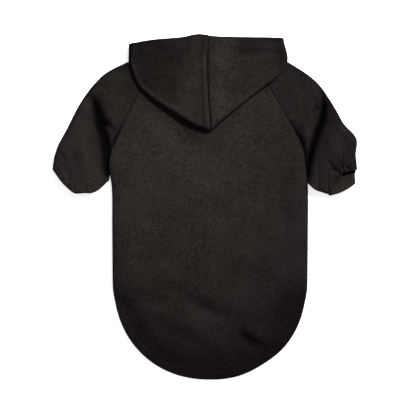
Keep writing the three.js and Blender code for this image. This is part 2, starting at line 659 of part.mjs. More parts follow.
function cuffTube(name) {
  const { side, along, across, endAcross, centre, bottom, top } = cuffFrame(name);
  const radius = (top - bottom) / 2;
  const half = CUFF_WIDTH / 2 - RIB_CLOTH / 2;
  const straight = 2 * (half - radius);
  const girth = 2 * straight + 2 * Math.PI * radius;
  const perRib = 2;
  const steps = CUFF_RIBS * perRib;
  const rows = 2;
  // A point of the flattened loop, its distance round the loop given as a share of the girth.
  function loopPoint(share, swell) {
    let run = share * girth;
    const arcLength = Math.PI * radius;
    const reach = radius + swell;
    if (run < straight) return { x: run - straight / 2, z: reach };
    run -= straight;
    if (run < arcLength) {
      return { x: straight / 2 + reach * Math.sin(run / radius), z: reach * Math.cos(run / radius) };
    }
    run -= arcLength;
    if (run < straight) return { x: straight / 2 - run, z: -reach };
    run -= straight;
    return { x: -straight / 2 - reach * Math.sin(run / radius), z: -reach * Math.cos(run / radius) };
  }
  const grid = count(rows + 1).map((j) =>
    count(steps).map((i) => {
      const { x, z } = loopPoint(i / steps, i % perRib ? -RIB_DEPTH : 0);
      const bow = CUFF_BOW * (j / rows) * (1 - square(x / half));
      const point = centre
        .clone()
        .addScaledVector(across.clone().lerp(endAcross, j / rows), x)
        .addScaledVector(along, (j / rows) * (CUFF_LENGTH - CUFF_BOW) + bow);
      point.z = (top + bottom) / 2 + z;
      return mirror(side, point);
    }),
  );
  const thin = () => RIB_CLOTH / 2;
  return clothWall(grid, { closed: true, facing: side.sign, outer: thin, inner: thin });
}

// Half of the hood. Each column starts at the neck ring. At the back it stands up, turns back over
// the nape, runs down to the fold line and turns again to the face hem. The turns open out towards
// the shoulder fold, past which the column runs straight to the hem below the throat.
function hoodHalf(name) {
  const side = SIDES[name];
  const shoulder = shoulderOf(side);
  const napeLevel = NAPE_HEIGHT - HALF;
  const topLevel = HOOD_HEIGHT - HALF;
  const firstRadius = (napeLevel - TOP) / 2;
  const secondRadius = (topLevel - napeLevel) / 2;
  const segmentRows = [1, 4, 3, 4, 6];
  const rowCount = segmentRows.reduce((sum, rows) => sum + rows, 0);
  const backSteps = edgeSteps(shoulder, SHOULDER_ROUND, 5, 6).reverse();
  const frontSteps = edgeSteps(shoulder, BELLY_ROUND, 3, 4).slice(1);
  const seamSide = (distance) => Math.max(shoulder - distance, SEAM_GAP / 2);
  const columns = [
    ...backSteps.map((distance) => ({ x: seamSide(distance), isFront: false })),
    ...frontSteps.map((distance) => ({ x: seamSide(distance), isFront: true })),
  ];
  const share = (x) => x / shoulder;
  const hemAt = (x) => HOOD_REACH * read(HOOD_HEM, "across", name, share(x)) - HALF;

  function frontColumn(x) {
    const start = neckline(side, x, true);
    start.y += SEAM_GAP;
    const end = start.clone();
    const opening = share(x) ** THROAT_CURVE;
    end.y = lerp(start.y + FRONT_STAND, hemAt(shoulder), opening);
    return count(rowCount + 1).map((k) => start.clone().lerp(end, k / rowCount));
  }
  // The turned column, as headings along its length: level, up and over, level, over again, level.
  function backColumn(x) {
    const start = neckline(side, x, false);
    start.y += SEAM_GAP;
    const fold = -HOOD_DEPTH * read(HOOD_FOLD, "across", name, share(x)) + HALF;
    const open = Math.sqrt(1 - square(clamp((share(x) - HOOD_SIDE) / (1 - HOOD_SIDE), 0, 1)));
    const turn = Math.PI * Math.sqrt(open);
    const stand = COLLAR * open;
    const nape = Math.max(start.y + stand - fold - secondRadius, 0) * open;
    const lengths = [stand, firstRadius * turn, nape, secondRadius * turn];
    const bent = lengths.reduce((sum, length) => sum + length, 0);
    const bends = [0, 1, 1, 0];
    const travel = (distance) => {
      let rest = distance;
      let heading = 0;
      const place = vec(0, 0, 0);
      lengths.forEach((length, k) => {
        const step = Math.min(rest, length);
        if (k === 1 || k === 3) {
          const radius = k === 1 ? firstRadius : secondRadius;
          const way = k === 1 ? 1 : -1;
          const after = heading + (way * step) / radius;
          place.y += way * radius * (Math.sin(after) - Math.sin(heading));
          place.z += way * radius * (Math.cos(heading) - Math.cos(after));
          heading = after;
        } else {
          place.y += step * Math.cos(heading);
          place.z += step * Math.sin(heading);
        }
        rest -= step;
      });
      place.y += Math.max(rest, 0);
      return place;
    };
    const bendEnd = travel(bent);
    const flat = hemAt(x) - start.y - bendEnd.y;
    const total = bent + flat;
    const marks = [0];
    [...lengths, flat].forEach((length, k) => {
      const base = marks.at(-1);
      count(segmentRows[k]).forEach((m) => marks.push(base + (length * (m + 1)) / segmentRows[k]));
    });
    return marks.map((mark, k) => {
      const distance = lerp((total * k) / rowCount, mark, open);
      const place = travel(distance);
      const past = clamp((distance - bent) / flat, 0, 1);
      place.z -= HEM_DROOP * square(past) * open;
      return start.clone().add(place);
    });
  }
  const lines = columns.map(({ x, isFront }) => (isFront ? frontColumn(x) : backColumn(x)));
  const grid = count(rowCount + 1).map((j) => lines.map((line) => mirror(side, line[j])));
  // Along the neck ring the cloth leaves square to the ring, and along the centre seam upright.
  const normal = (j, i, free) => {
    const { x, isFront } = columns[i];
    if (j === 0) return mirror(side, neckNormal(side, x, isFront));
    return i === 0 || i === columns.length - 1 ? free.setX(0).normalize() : free;
  };
  return clothWall(grid, { facing: -side.sign, normal });
}

// Materials
const matte = { roughness: 0.95, metalness: 0 };
const fleece = new THREE.MeshStandardMaterial({ name: "fleece", color: 0x1f1b1a, ...matte });
const rib = new THREE.MeshStandardMaterial({ name: "rib", color: 0x1a1716, ...matte });

function piece(name, geometry, material) {
  const mesh = new THREE.Mesh(geometry, material);
  mesh.name = name;
  return mesh;
}

const garment = new THREE.Group();
garment.add(piece("back_panel", backPanel(), fleece), piece("belly_panel", bellyPanel(), fleece));
for (const name of Object.keys(SIDES)) {
  const arm = new THREE.Group();
  arm.add(piece(`sleeve_${name}`, sleeve(name), fleece), piece(`cuff_${name}`, cuffTube(name), rib));
  garment.add(arm, piece(`hood_${name}`, hoodHalf(name), fleece));
}

// The origin is the middle of the whole garment's box, on the surface that it lies on.
const box = new THREE.Box3().setFromObject(garment, true);
const middle = box.getCenter(new THREE.Vector3());
garment.position.set(-middle.x, -middle.y, -box.min.z);
const hoodie = new THREE.Group();
hoodie.name = "dog_hoodie";
hoodie.add(garment);

export default hoodie;
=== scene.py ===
"""A small dog's fleece hoodie, lying flat with its back up and its hood laid back.

Every piece is a wall of cloth: a grid of points through the middle of the cloth, worked out as whole
arrays, thickened to both sides along its normals and closed round its edges. Shapes are worked out
in millimetres in the pattern's own place, with the back of the neck at zero, and move to the
frame's metres when the mesh is made.
"""

import json
import logging
import math
from dataclasses import dataclass
from enum import Enum
from typing import Any, Callable, ClassVar, Sequence

import bpy
import numpy as np
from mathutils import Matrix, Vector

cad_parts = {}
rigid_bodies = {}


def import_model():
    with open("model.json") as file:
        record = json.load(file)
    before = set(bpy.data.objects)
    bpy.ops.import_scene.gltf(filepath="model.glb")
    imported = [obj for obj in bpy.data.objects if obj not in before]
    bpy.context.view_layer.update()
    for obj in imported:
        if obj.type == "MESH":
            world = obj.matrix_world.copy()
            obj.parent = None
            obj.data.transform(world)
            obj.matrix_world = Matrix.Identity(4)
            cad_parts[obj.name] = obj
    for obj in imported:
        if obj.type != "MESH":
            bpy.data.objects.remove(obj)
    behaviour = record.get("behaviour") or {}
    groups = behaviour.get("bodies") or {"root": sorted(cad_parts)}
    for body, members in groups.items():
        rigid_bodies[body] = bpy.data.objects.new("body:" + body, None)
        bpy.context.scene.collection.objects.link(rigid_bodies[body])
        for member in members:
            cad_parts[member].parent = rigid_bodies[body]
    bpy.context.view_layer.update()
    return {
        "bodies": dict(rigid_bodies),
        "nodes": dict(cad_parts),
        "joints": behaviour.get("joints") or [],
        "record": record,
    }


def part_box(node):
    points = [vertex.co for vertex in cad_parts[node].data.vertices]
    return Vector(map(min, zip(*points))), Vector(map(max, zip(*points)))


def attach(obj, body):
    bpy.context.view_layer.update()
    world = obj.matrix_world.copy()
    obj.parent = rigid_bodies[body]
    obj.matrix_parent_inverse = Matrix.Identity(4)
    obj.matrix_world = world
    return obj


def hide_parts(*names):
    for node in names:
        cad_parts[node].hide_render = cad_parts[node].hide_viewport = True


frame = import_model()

LOG = logging.getLogger("dog_hoodie")
MM = 0.001
TINY = 1e-12
Array = np.ndarray


class Side(Enum):
    """A side of the garment, seen from above with the head up."""

    LEFT = "left"
    RIGHT = "right"

    @property
    def sign(self) -> int:
        """The direction of this side along X."""
        return -1 if self is Side.LEFT else 1


@dataclass(frozen=True)
class Pattern:
    """The garment's sizes in millimetres, as in the solids that these pieces dress."""

    cloth: float = 2.0
    rib_cloth: float = 1.8
    seam_gap: float = 0.16
    layer_gap: float = 0.35
    hem_width: float = 9.0
    hem_fold: float = 1.0
    body_width: float = 214.0
    body_height: float = 12.0
    side_seam_height: float = 6.0
    back_length: float = 341.0
    tail_length: float = 110.0
    tail_fullness: float = 2.16
    tail_slope: float = 77.0
    belly_length: float = 225.0
    armpit_depth: float = 86.0
    shoulder_round: float = 22.0
    neck_width: float = 172.0
    yoke_width: float = 115.0
    front_yoke_width: float = 100.0
    neck_dip: float = 3.0
    throat_depth: float = 30.0
    shoulder_rise: float = 8.0
    sleeve_length: float = 146.0
    sleeve_width: float = 64.0
    sleeve_height: float = 17.2
    lower_layer_short: float = 0.17
    cuff_width: float = 35.0
    cuff_taper: float = 0.92
    cuff_length: float = 17.0
    cuff_height: float = 9.0
    cuff_turn: float = 13.0
    cuff_slant: float = 12.0
    cuff_bow: float = 2.0
    cuff_lap: float = 3.0
    hood_depth: float = 68.5
    hood_reach: float = 36.5
    hood_height: float = 24.0
    collar: float = 5.0
    nape_height: float = 15.0
    hem_droop: float = 2.0
    hood_side: float = 0.88
    front_stand: float = 10.0
    throat_curve: float = 0.8

    @property
    def half(self) -> float:
        """Half the cloth's thickness."""
        return self.cloth / 2

    @property
    def floor(self) -> float:
        """The level of the middle of cloth that lies on the surface."""
        return self.half

    @property
    def top(self) -> float:
        """The level of the middle of the back."""
        return self.body_height - self.half

    @property
    def seam(self) -> float:
        """The level of the side seam."""
        return self.side_seam_height

    @property
    def belly_round(self) -> float:
        """The radius of the belly's rolled sides."""
        return self.seam - self.floor

    @property
    def face_to_face(self) -> float:
        """From middle to middle where two walls lie side by side."""
        return self.cloth + self.layer_gap


# Shares of the full widths above that the seams take on each side
YOKE = {Side.LEFT: 0.555, Side.RIGHT: 0.445}
SHOULDER = {Side.LEFT: 0.522, Side.RIGHT: 0.494}
ARMPIT = {Side.LEFT: 0.5, Side.RIGHT: 0.479}

# The body's side line from the armpit to the tail, as shares of half the body's width
SIDE_LINE = {
    "down": (0, 0.12, 0.3, 0.6, 1),
    "left": (1.01, 1.044, 1.012, 1.008, 1.004),
    "right": (0.958, 0.977, 1.003, 1.004, 1),
}

# The sleeves' outer edges, out and down from the armpit as shares of the sleeve's width and length,
# with the inner edge beside the body, the section's bow towards the cuff and its height
SLEEVE_ROWS = {
    "along": (0, 0.17, 0.34, 0.5, 0.66, 0.83, 1),
    "inner": (0, 0.01, 0.02, 0.05, 0.09, 0.14, 0.18),
    "high": (0.66, 0.7, 0.76, 0.82, 0.88, 0.95, 1),
}
SLEEVE_LINE = {
    Side.LEFT: {
        **SLEEVE_ROWS,
        "out": (-0.26, 0.11, 0.365, 0.58, 0.77, 0.92, 1),
        "down": (-0.635, -0.558, -0.453, -0.315, -0.15, -0.03, 0.07),
        "bow": (0, 0, 0, 0, 0.015, 0.05, 0.09),
    },
    Side.RIGHT: {
        **SLEEVE_ROWS,
        "out": (-0.29, 0.07, 0.32, 0.545, 0.69, 0.9, 0.885),
        "down": (-0.65, -0.548, -0.443, -0.29, -0.175, -0.07, 0.05),
        "bow": (0, 0, 0, 0, 0.01, 0.03, 0.05),
    },
}

# How far each sleeve's gathered end hangs below the armpit, from the body (0) to the outside (1)
SLEEVE_END = {
    "across": (0, 0.15, 0.3, 0.42, 0.52, 0.62, 0.82, 1),
    "left": (0.245, 0.31, 0.341, 0.342, 0.345, 0.34, 0.265, 0.165),
    "right": (0.265, 0.315, 0.336, 0.345, 0.3, 0.21, 0.185, 0.165),
}

# The middle of each cuff's seam, out and down from the armpit
CUFF_PLACE = {Side.LEFT: (0.57, 0.15), Side.RIGHT: (0.605, 0.214)}

# The hood's fold line from the tip (0) to the shoulder (1), as shares of its depth
HOOD_FOLD = {
    "across": (0, 0.15, 0.3, 0.45, 0.6, 0.75, 0.88, 1),
    "left": (1, 0.925, 0.825, 0.7, 0.565, 0.42, 0.24, -0.08),
    "right": (1, 0.83, 0.68, 0.53, 0.38, 0.25, 0.12, -0.06),
}

# The face hem from the centre seam (0) to the shoulder (1), as shares of the hood's reach
HOOD_HEM = {
    "across": (0, 0.13, 0.35, 0.7, 1),
    "left": (1.02, 1.05, 0.96, 0.9, 0.78),
    "right": (1, 0.98, 0.97, 0.96, 0.95),
}


@dataclass(frozen=True)
class Fold:
    """A soft trough along a line of points.

    Each row gives a place, as shares of two unit lengths, and how deep the trough is there in
    millimetres. A ridge has negative depths. A power of 2 makes a soft bell across the line, and one
    near 1 makes a sharp crease.
    """

    rows: tuple[tuple[float, float, float], ...]
    wide: float
    power: float = 2.0

    def depth(self, x: Array, y: Array, unit_x: float, unit_y: float) -> Array:
        """Works out how far the trough presses the cloth down: a bell across its line, with round ends.

        Args:
            x: places across.
            y: places along.
            unit_x: the length that the rows' first numbers are shares of.
            unit_y: the length that their second numbers are shares of.

        Returns:
            The depth at each place.
        """
        rows = np.array(self.rows) * (unit_x, unit_y, 1)
        nearest = np.full(np.broadcast(x, y).shape, np.inf)
        deep = np.zeros(nearest.shape)
        for start, end in zip(rows[:-1], rows[1:]):
            run = end - start
            share = np.clip(((x - start[0]) * run[0] + (y - start[1]) * run[1]) / (run[:2] @ run[:2]), 0, 1)
            away = np.hypot(x - start[0] - share * run[0], y - start[1] - share * run[1])
            deep = np.where(away < nearest, start[2] + share * run[2], deep)
            nearest = np.minimum(away, nearest)
        return deep * np.exp(-((nearest / self.wide) ** self.power))


# The back's folds: x as a share of the body's width, y of the back's length, then the depth
BACK_FOLDS = (
    Fold(
        ((0.14, -0.848, 1.0), (0.19, -0.87, 7.0), (0.266, -0.903, 7.5))
        + ((0.34, -0.937, 11.0), (0.37, -0.95, 5.0)),
        4.6,
    ),
    Fold(((0.18, -0.905, -0.8), (0.25, -0.94, -3.4), (0.29, -0.965, -0.8)), 6.5),
    Fold(((0.18, -0.825, -0.5), (0.25, -0.855, -2.6), (0.32, -0.885, -0.8)), 7.0),
    Fold(((-0.16, -0.725, 1.0), (-0.05, -0.762, 8.0), (0.06, -0.79, 2.0)), 8.0),
    Fold(((-0.3, -0.77, -0.8), (-0.12, -0.82, -3.6), (0.05, -0.885, -1.2)), 9.0),
    Fold(((-0.3, -0.63, -0.5), (-0.22, -0.66, -2.6), (-0.12, -0.69, -0.5)), 8.0),
    Fold(((-0.42, -0.68, -0.6), (-0.36, -0.78, -3.0), (-0.26, -0.87, -2.2), (-0.1, -0.92, -0.8)), 14.0),
    Fold(((0.37, -0.33, 0.5), (0.37, -0.45, 3.6), (0.38, -0.57, 0.8)), 9.0),
    Fold(((0.34, -0.73, 1.0), (0.39, -0.79, 6.0), (0.4, -0.87, 3.0)), 13.0),
    Fold(((-0.31, -0.915, 1.0), (-0.17, -0.955, 6.0), (-0.01, -0.982, 2.0)), 4.5),
    Fold(((-0.4, -0.5, 0.4), (-0.3, -0.44, 1.8), (-0.2, -0.4, 0.4)), 13.0),
    Fold(((0.1, -0.5, 0.3), (0.2, -0.6, 2.2), (0.16, -0.72, 0.4)), 15.0),
    Fold(((-0.36, -0.1, 0.8), (-0.22, -0.18, 4.4), (-0.09, -0.235, 6.5), (-0.04, -0.245, 1.0)), 13.0),
)

# Where the tail's outline is a little flatter: the place, the way in, the reach, in millimetres
TAIL_FLAT = {"x": 57.0, "y": -321.0, "in_x": -0.9, "in_y": 1.5, "reach": 24.0}

# The sleeves' folds: out and down from the armpit as shares of the sleeve's width and length
SLEEVE_FOLDS = {
    Side.LEFT: (
        Fold(
            ((0.4, -0.41, 2.0), (0.3, -0.32, 9.0), (0.24, -0.23, 11.5), (0.215, -0.15, 12.5))
            + ((0.146, -0.07, 13.0), (0.1, 0.07, 13.0), (0.09, 0.15, 13.0), (0.05, 0.26, 12.0)),
            5.4,
            1.5,
        ),
        Fold(((0.2, -0.19, 2.0), (0.08, -0.18, 4.5), (-0.02, -0.13, 2.5)), 4.0),
        Fold(((0.34, -0.25, 0.5), (0.3, -0.04, 2.5), (0.2, 0.1, 4.0), (0.14, 0.24, 4.0)), 11.0),
        Fold(((0.6, -0.25, -0.5), (0.56, -0.1, -1.4), (0.5, 0.06, -0.6)), 9.0),
        Fold(((0.7, -0.02, 0.5), (0.62, 0.1, 2.0), (0.55, 0.24, 1.2)), 6.0),
        Fold(((0.93, 0.03, 0.6), (0.84, 0.07, 1.6), (0.76, 0.14, 0.5)), 3.5),
        Fold(((0.9, 0.12, 0.6), (0.8, 0.16, 2.0), (0.7, 0.22, 0.8)), 3.0),
    ),
    Side.RIGHT: (
        Fold(
            ((0.31, -0.43, 3.0), (0.34, -0.32, 8.0), (0.3, -0.21, 11.0), (0.23, -0.125, 12.0))
            + ((0.15, -0.02, 12.0), (0.1, 0.07, 12.0), (0.04, 0.24, 11.0)),
            3.9,
            1.6,
        ),
        Fold(((0.42, -0.34, 1.0), (0.42, -0.22, 2.6), (0.34, -0.06, 3.0), (0.24, 0.1, 3.0)), 10.0),
        Fold(((0.23, -0.38, 1.5), (0.2, -0.3, 5.0), (0.14, -0.22, 1.0)), 3.5),
        Fold(((0.14, -0.32, -0.5), (0.12, -0.22, -1.6), (0.04, -0.1, -0.8)), 4.5),
        Fold(((0.42, 0.11, 0.8), (0.5, 0.16, 2.6), (0.56, 0.18, 3.0)), 2.6),
        Fold(((0.6, 0.13, 0.6), (0.72, 0.155, 2.4), (0.9, 0.14, 1.6)), 2.6),
        Fold(((0.2, 0.06, 0.6), (0.26, 0.17, 2.2), (0.24, 0.28, 1.0)), 4.0),
    ),
}

# The folds of the hood's upper layer: places in millimetres from the back of the neck
HOOD_FOLDS = (
    Fold(((-56, 1, 0.3), (-46, 8, 1.5), (-26, 18, 0.8)), 5.0),
    Fold(((-7, 34, 0.6), (-8, 26, 1.5), (-9, 15, 0.5)), 3.5),
    Fold(((-14, 9, -0.4), (-13, 2, -1.3), (-16, -6, -0.4)), 5.0),
    Fold(((-70, 12, 0.4), (-62, -6, 1.4), (-40, -30, 0.5)), 11.0),
    Fold(((30, 22, 0.3), (48, 14, 1.1), (66, 10, 0.3)), 7.0),
    Fold(((24, -40, 0.2), (34, -22, 1.0), (52, -8, 0.3)), 9.0),
)

# How far the hood's centre seam lies from the middle, by place along it, in millimetres
HOOD_SWAY = {"y": (-68, -41, -22, 13, 35), "x": (0.4, -1.4, -2.7, -3.3, -2.1)}

# The ridge beside the centre seam, the fall from there to the shoulder and how far the face hem's
# corner lies in, in millimetres
HOOD_FORM = {
    Side.LEFT: {"ridge": 1.7, "ridge_at": 4.2, "ridge_width": 2.8, "fall": 6.0, "corner": 0.4},
    Side.RIGHT: {"ridge": 1.3, "ridge_at": 9.0, "ridge_width": 8.5, "fall": 3.0, "corner": 4.4},
}

# The slight unevenness of the cloth: a seed, a length and a height in millimetres each, how many
# waves are summed and the range of their lengths, as shares of the length
RIPPLE_WAVES = 14
RIPPLE_SPREAD = (0.6, 1.6)
BACK_RIPPLES = ((11, 52, 0.42), (12, 20, 0.126))
HOOD_RIPPLES = ((41, 46, 0.6), (42, 17, 0.2))
SLEEVE_RIPPLES = {Side.LEFT: ((20, 34, 0.55),), Side.RIGHT: ((22, 34, 0.55),)}

# The seeds of the sleeves' gathers
GATHER_SEEDS = {Side.LEFT: 30, Side.RIGHT: 32}

# How strong the sleeves' gathers are from the body (0) to the outside (1)
SLEEVE_GATHERS = {
    "across": (0, 0.3, 0.6, 0.8, 1),
    "left": (0.2, 0.25, 0.5, 1.3, 1.3),
    "right": (0.3, 0.5, 1.4, 1.3, 0.9),
}


def mix(low: Any, high: Any, share: Any) -> Any:
    """The value at a share of the way from low to high."""
    return low + (high - low) * share


def smooth(value: Any, low: float, high: float) -> Any:
    """Rises from 0 at low to 1 at high along a smooth cubic."""
    share = np.clip((np.asarray(value, float) - low) / (high - low), 0, 1)
    return share * share * (3 - 2 * share)


def roll(distance: Any, width: Any) -> Any:
    """Quarter ellipse: 0 at the edge with an upright start, 1 from the width onwards."""
    return np.sqrt(1 - (1 - np.clip(distance / width, 0, 1)) ** 2)


def read(table: dict[str, Sequence[float]], key: str, column: str, at: Any) -> Array:
    """Reads a table's column as a smooth curve.

    Between two rows the value is the cubic that keeps each row's slope, which is the slope between
    its two neighbours.

    Args:
        table: columns of equal length, by name.
        key: the column that at is a value of, rising.
        column: the column to read.
        at: where to read it.

    Returns:
        The values at those places.
    """
    keys, values = np.asarray(table[key], float), np.asarray(table[column], float)
    at = np.clip(np.asarray(at, float), keys[0], keys[-1])
    last = len(keys) - 1
    before, after = np.maximum(np.arange(last + 1) - 1, 0), np.minimum(np.arange(last + 1) + 1, last)
    slopes = (values[after] - values[before]) / (keys[after] - keys[before])
    i = np.clip(np.searchsorted(keys, at, side="right") - 1, 0, last - 1)
    span = keys[i + 1] - keys[i]
    t = (at - keys[i]) / span
    rest = 1 - t
    return (
        values[i] * rest * rest * (1 + 2 * t)
        + slopes[i] * span * t * rest * rest
        + values[i + 1] * t * t * (3 - 2 * t)
        - slopes[i + 1] * span * t * t * rest
    )


def fold_depth(folds: Sequence[Fold], x: Array, y: Array, unit_x: float = 1.0, unit_y: float = 1.0) -> Array:
    """How far several folds press the cloth down in all, in millimetres."""
    return sum(fold.depth(x, y, unit_x, unit_y) for fold in folds)


def ripple(x: Array, y: Array, seed: int, length: float, height: float) -> Array:
    """Gentle unevenness: a sum of sine waves with seeded directions, phases and lengths.

    Args:
        x: places in millimetres.
        y: places in millimetres.
        seed: picks the waves.
        length: the waves' middle length in millimetres.
        height: the sum's usual height in millimetres.

    Returns:
        The height at each place, in millimetres.
    """
    draw = np.random.default_rng(seed)
    total = np.zeros(np.broadcast(x, y).shape)
    for _ in range(RIPPLE_WAVES):
        angle, phase = draw.uniform(0, 2 * math.pi, 2)
        pitch = 2 * math.pi / (length * draw.uniform(*RIPPLE_SPREAD))
        total += np.sin(pitch * (x * math.cos(angle) + y * math.sin(angle)) + phase)
    return total * height * math.sqrt(2 / RIPPLE_WAVES)


def ripples(rows: Sequence[tuple[int, float, float]], x: Array, y: Array) -> Array:
    """The sum of several ripples, each with its seed, length and height."""
    return sum(ripple(x, y, *row) for row in rows)


def edge_steps(half_width: Array, rolled: float, edge_count: int, flat_count: int) -> Array:
    """Distances from a panel's edge to its middle: close together over the rolled edge, then even.

    Args:
        half_width: one value for each row.
        rolled: the width of the rolled edge.
        edge_count: steps over the rolled edge.
        flat_count: steps over the rest.

    Returns:
        A row of distances for each half width.
    """
    half_width = np.atleast_1d(half_width)[:, None]
    near = rolled * (1 - np.cos(np.arange(edge_count) / edge_count * math.pi / 2))
    far = mix(rolled, half_width, np.arange(flat_count + 1) / flat_count)
    return np.hstack([np.broadcast_to(near, (len(half_width), edge_count)), far])


@dataclass
class Wall:
    """A wall of cloth round a grid of middle points, rows by columns by three, in millimetres.

    The outer and the inner skin lie to both sides of the grid, each at one distance or at one of its
    own for each point. Towards the edges both come nearer, so that cut and folded edges are round: to
    end_share in the first and last row, and to side_share at the sides of a wall that isn't closed.
    """

    points: Array
    facing: int = 1
    closed: bool = False
    outer: float | Array = 1.0
    inner: float | Array = 1.0
    set_normals: Callable[[Array], Array] | None = None
    end_share: float = 0.45
    side_share: float = 0.3
    side_columns: int = 12
    side_round: float = 1.0

    def normals(self) -> Array:
        """Finds the outward directions.

        Each is the sum of the cross products of the diagonals of the faces round a point, made one long.

        Returns:
            A direction for each point.
        """
        grid = self.points
        right = np.roll(grid, -1, axis=1) if self.closed else grid[:, 1:]
        left = grid if self.closed else grid[:, :-1]
        area = np.cross(left[1:] - right[:-1], right[1:] - left[:-1]) * self.facing
        sums = np.zeros_like(grid)
        if self.closed:
            both = area + np.roll(area, 1, axis=1)
            sums[:-1] += both
            sums[1:] += both
        else:
            for rows in (slice(None, -1), slice(1, None)):
                for columns in (slice(None, -1), slice(1, None)):
                    sums[rows, columns] += area
        found = unit(sums)
        return self.set_normals(found) if self.set_normals else found

    def edge_share(self) -> Array:
        """Works out the share of the full thickness, a quarter ellipse across an open side.

        Returns:
            A share for each point.
        """
        share = np.ones(self.points.shape[:2])
        share[[0, -1]] *= self.end_share
        if not self.closed:
            for order in (slice(None), slice(None, None, -1)):
                strip = self.points[:, order][:, : self.side_columns]
                run = np.cumsum(np.linalg.norm(np.diff(strip, axis=1), axis=2), axis=1)
                away = np.hstack([np.zeros((len(run), 1)), run])
                near = mix(self.side_share, 1, roll(away, self.side_round))
                share[:, order][:, : self.side_columns] *= near
        return share

    def skins(self) -> tuple[Array, Array]:
        """The outer and inner surfaces' points."""
        step, shape = self.normals() * self.edge_share()[..., None], self.points.shape[:2]
        outer, inner = (np.broadcast_to(thick, shape)[..., None] for thick in (self.outer, self.inner))
        return self.points + step * outer, self.points - step * inner

    def faces(self) -> Array:
        """Joins the points of both skins and of the rim between them by quads that face out.

        Returns:
            The corners' numbers, four for each quad, with the inner skin's points after the outer's.
        """
        rows, columns = self.points.shape[:2]
        index = np.arange(rows * columns).reshape(rows, columns)
        if self.closed:
            index = np.hstack([index, index[:, :1]])
        shell = rows * columns
        a, b, c, d = index[:-1, :-1], index[:-1, 1:], index[1:, 1:], index[1:, :-1]
        quads = [np.stack([a, d, c, b], axis=-1), np.stack([a, b, c, d], axis=-1) + shell]

        def rim(start: Array, end: Array) -> Array:
            """The quads from a line of outer points to the same line of inner ones."""
            return np.stack([start, end, end + shell, start + shell], axis=-1)

        quads += [rim(index[0, :-1], index[0, 1:]), rim(index[-1, 1:], index[-1, :-1])]
        if not self.closed:
            quads += [rim(index[1:, 0], index[:-1, 0]), rim(index[:-1, -1], index[1:, -1])]
        joined = np.concatenate([quad.reshape(-1, 4) for quad in quads])
        return joined if self.facing > 0 else joined[:, ::-1]

    def flat_map(self) -> Array:
        """Lays the cloth flat: the distance along each row from its middle, and down the columns.

        Returns:
            Two numbers for each point, in metres.
        """
        across = np.linalg.norm(np.diff(self.points, axis=1), axis=2)
        u = np.hstack([np.zeros((len(across), 1)), np.cumsum(across, axis=1)])
        u = u - u[:, u.shape[1] // 2][:, None]
        down = np.linalg.norm(np.diff(self.points, axis=0), axis=2).mean(axis=1)
        v = np.broadcast_to(np.concatenate([[0], np.cumsum(down)])[:, None], u.shape)
        return np.stack([u, v], axis=-1) * MM


@dataclass(frozen=True)
class Place:
    """Where the pattern's own zero lies in the frame, in millimetres."""

    x: float
    y: float
    tail_short: ClassVar[float] = 0.6

    @classmethod
    def from_frame(cls, pattern: Pattern) -> "Place":
        """Finds the zero from the hood's centre seam and the tail, which ends a little short.

        Args:
            pattern: the garment's sizes.

        Returns:
            The place.
        """
        left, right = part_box("hood_left"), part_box("hood_right")
        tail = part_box("back_panel")[0][1] / MM
        return cls(x=(left[1][0] + right[0][0]) / 2 / MM, y=tail + pattern.back_length - cls.tail_short)

    def to_frame(self, points: Array) -> Array:
        """Moves points in millimetres to the frame's metres."""
        return (points + np.array([self.x, self.y, 0])) * MM


def make_object(name: str, vertices: Array, faces: Array, uv: Array | None = None) -> bpy.types.Object:
    """Makes a smooth mesh object at the origin.

    Args:
        name: the object's name.
        vertices: places in metres.
        faces: corner indices, all of one length.
        uv: a map point for each vertex.

    Returns:
        The new object, linked to the scene.
    """
    mesh = bpy.data.meshes.new(name)
    corners = faces.shape[1]
    mesh.vertices.add(len(vertices))
    mesh.vertices.foreach_set("co", vertices.astype(np.float32).ravel())
    mesh.loops.add(faces.size)
    mesh.loops.foreach_set("vertex_index", faces.astype(np.int32).ravel())
    mesh.polygons.add(len(faces))
    mesh.polygons.foreach_set("loop_start", np.arange(0, faces.size, corners, dtype=np.int32))
    mesh.polygons.foreach_set("use_smooth", np.ones(len(faces), dtype=bool))
    if uv is not None:
        layer = mesh.uv_layers.new(name="cloth")
        layer.data.foreach_set("uv", uv[faces.ravel()].astype(np.float32).ravel())
    mesh.update(calc_edges=True)
    mesh.validate()
    made = bpy.data.objects.new(name, mesh)
    bpy.context.scene.collection.objects.link(made)
    return made


def make_cloth(name: str, wall: Wall, place: Place) -> bpy.types.Object:
    """Makes the object of a wall of cloth, with its flat map on both skins.

    Args:
        name: the object's name.
        wall: the wall, in the pattern's millimetres.
        place: where the pattern lies in the frame.

    Returns:
        The new object.
    """
    outer, inner = wall.skins()
    vertices = np.concatenate([outer.reshape(-1, 3), inner.reshape(-1, 3)])
    uv = np.tile(wall.flat_map().reshape(-1, 2), (2, 1))
    return make_object(name, place.to_frame(vertices), wall.faces(), uv)


def unit(vectors: Array) -> Array:
    """Vectors of length one in the same directions."""
    return vectors / np.maximum(np.linalg.norm(vectors, axis=-1, keepdims=True), TINY)


def place_of(x: Any, y: Any, z: Any) -> Array:
    """Points from their three coordinates, spread to one shape."""
    return np.stack(np.broadcast_arrays(x, y, z), axis=-1).astype(float)


def evened(grid: Array, rounds: int) -> Array:
    """Takes kinks out along the columns: each point moves to the mean of itself and its neighbours.

    Args:
        grid: rows by columns by three, of which the first and the last stay.
        rounds: how often it is done.

    Returns:
        The evened grid.
    """
    grid = grid.copy()
    for _ in range(rounds):
        grid[1:-1] = (grid[:-2] + 2 * grid[1:-1] + grid[2:]) / 4
    return grid


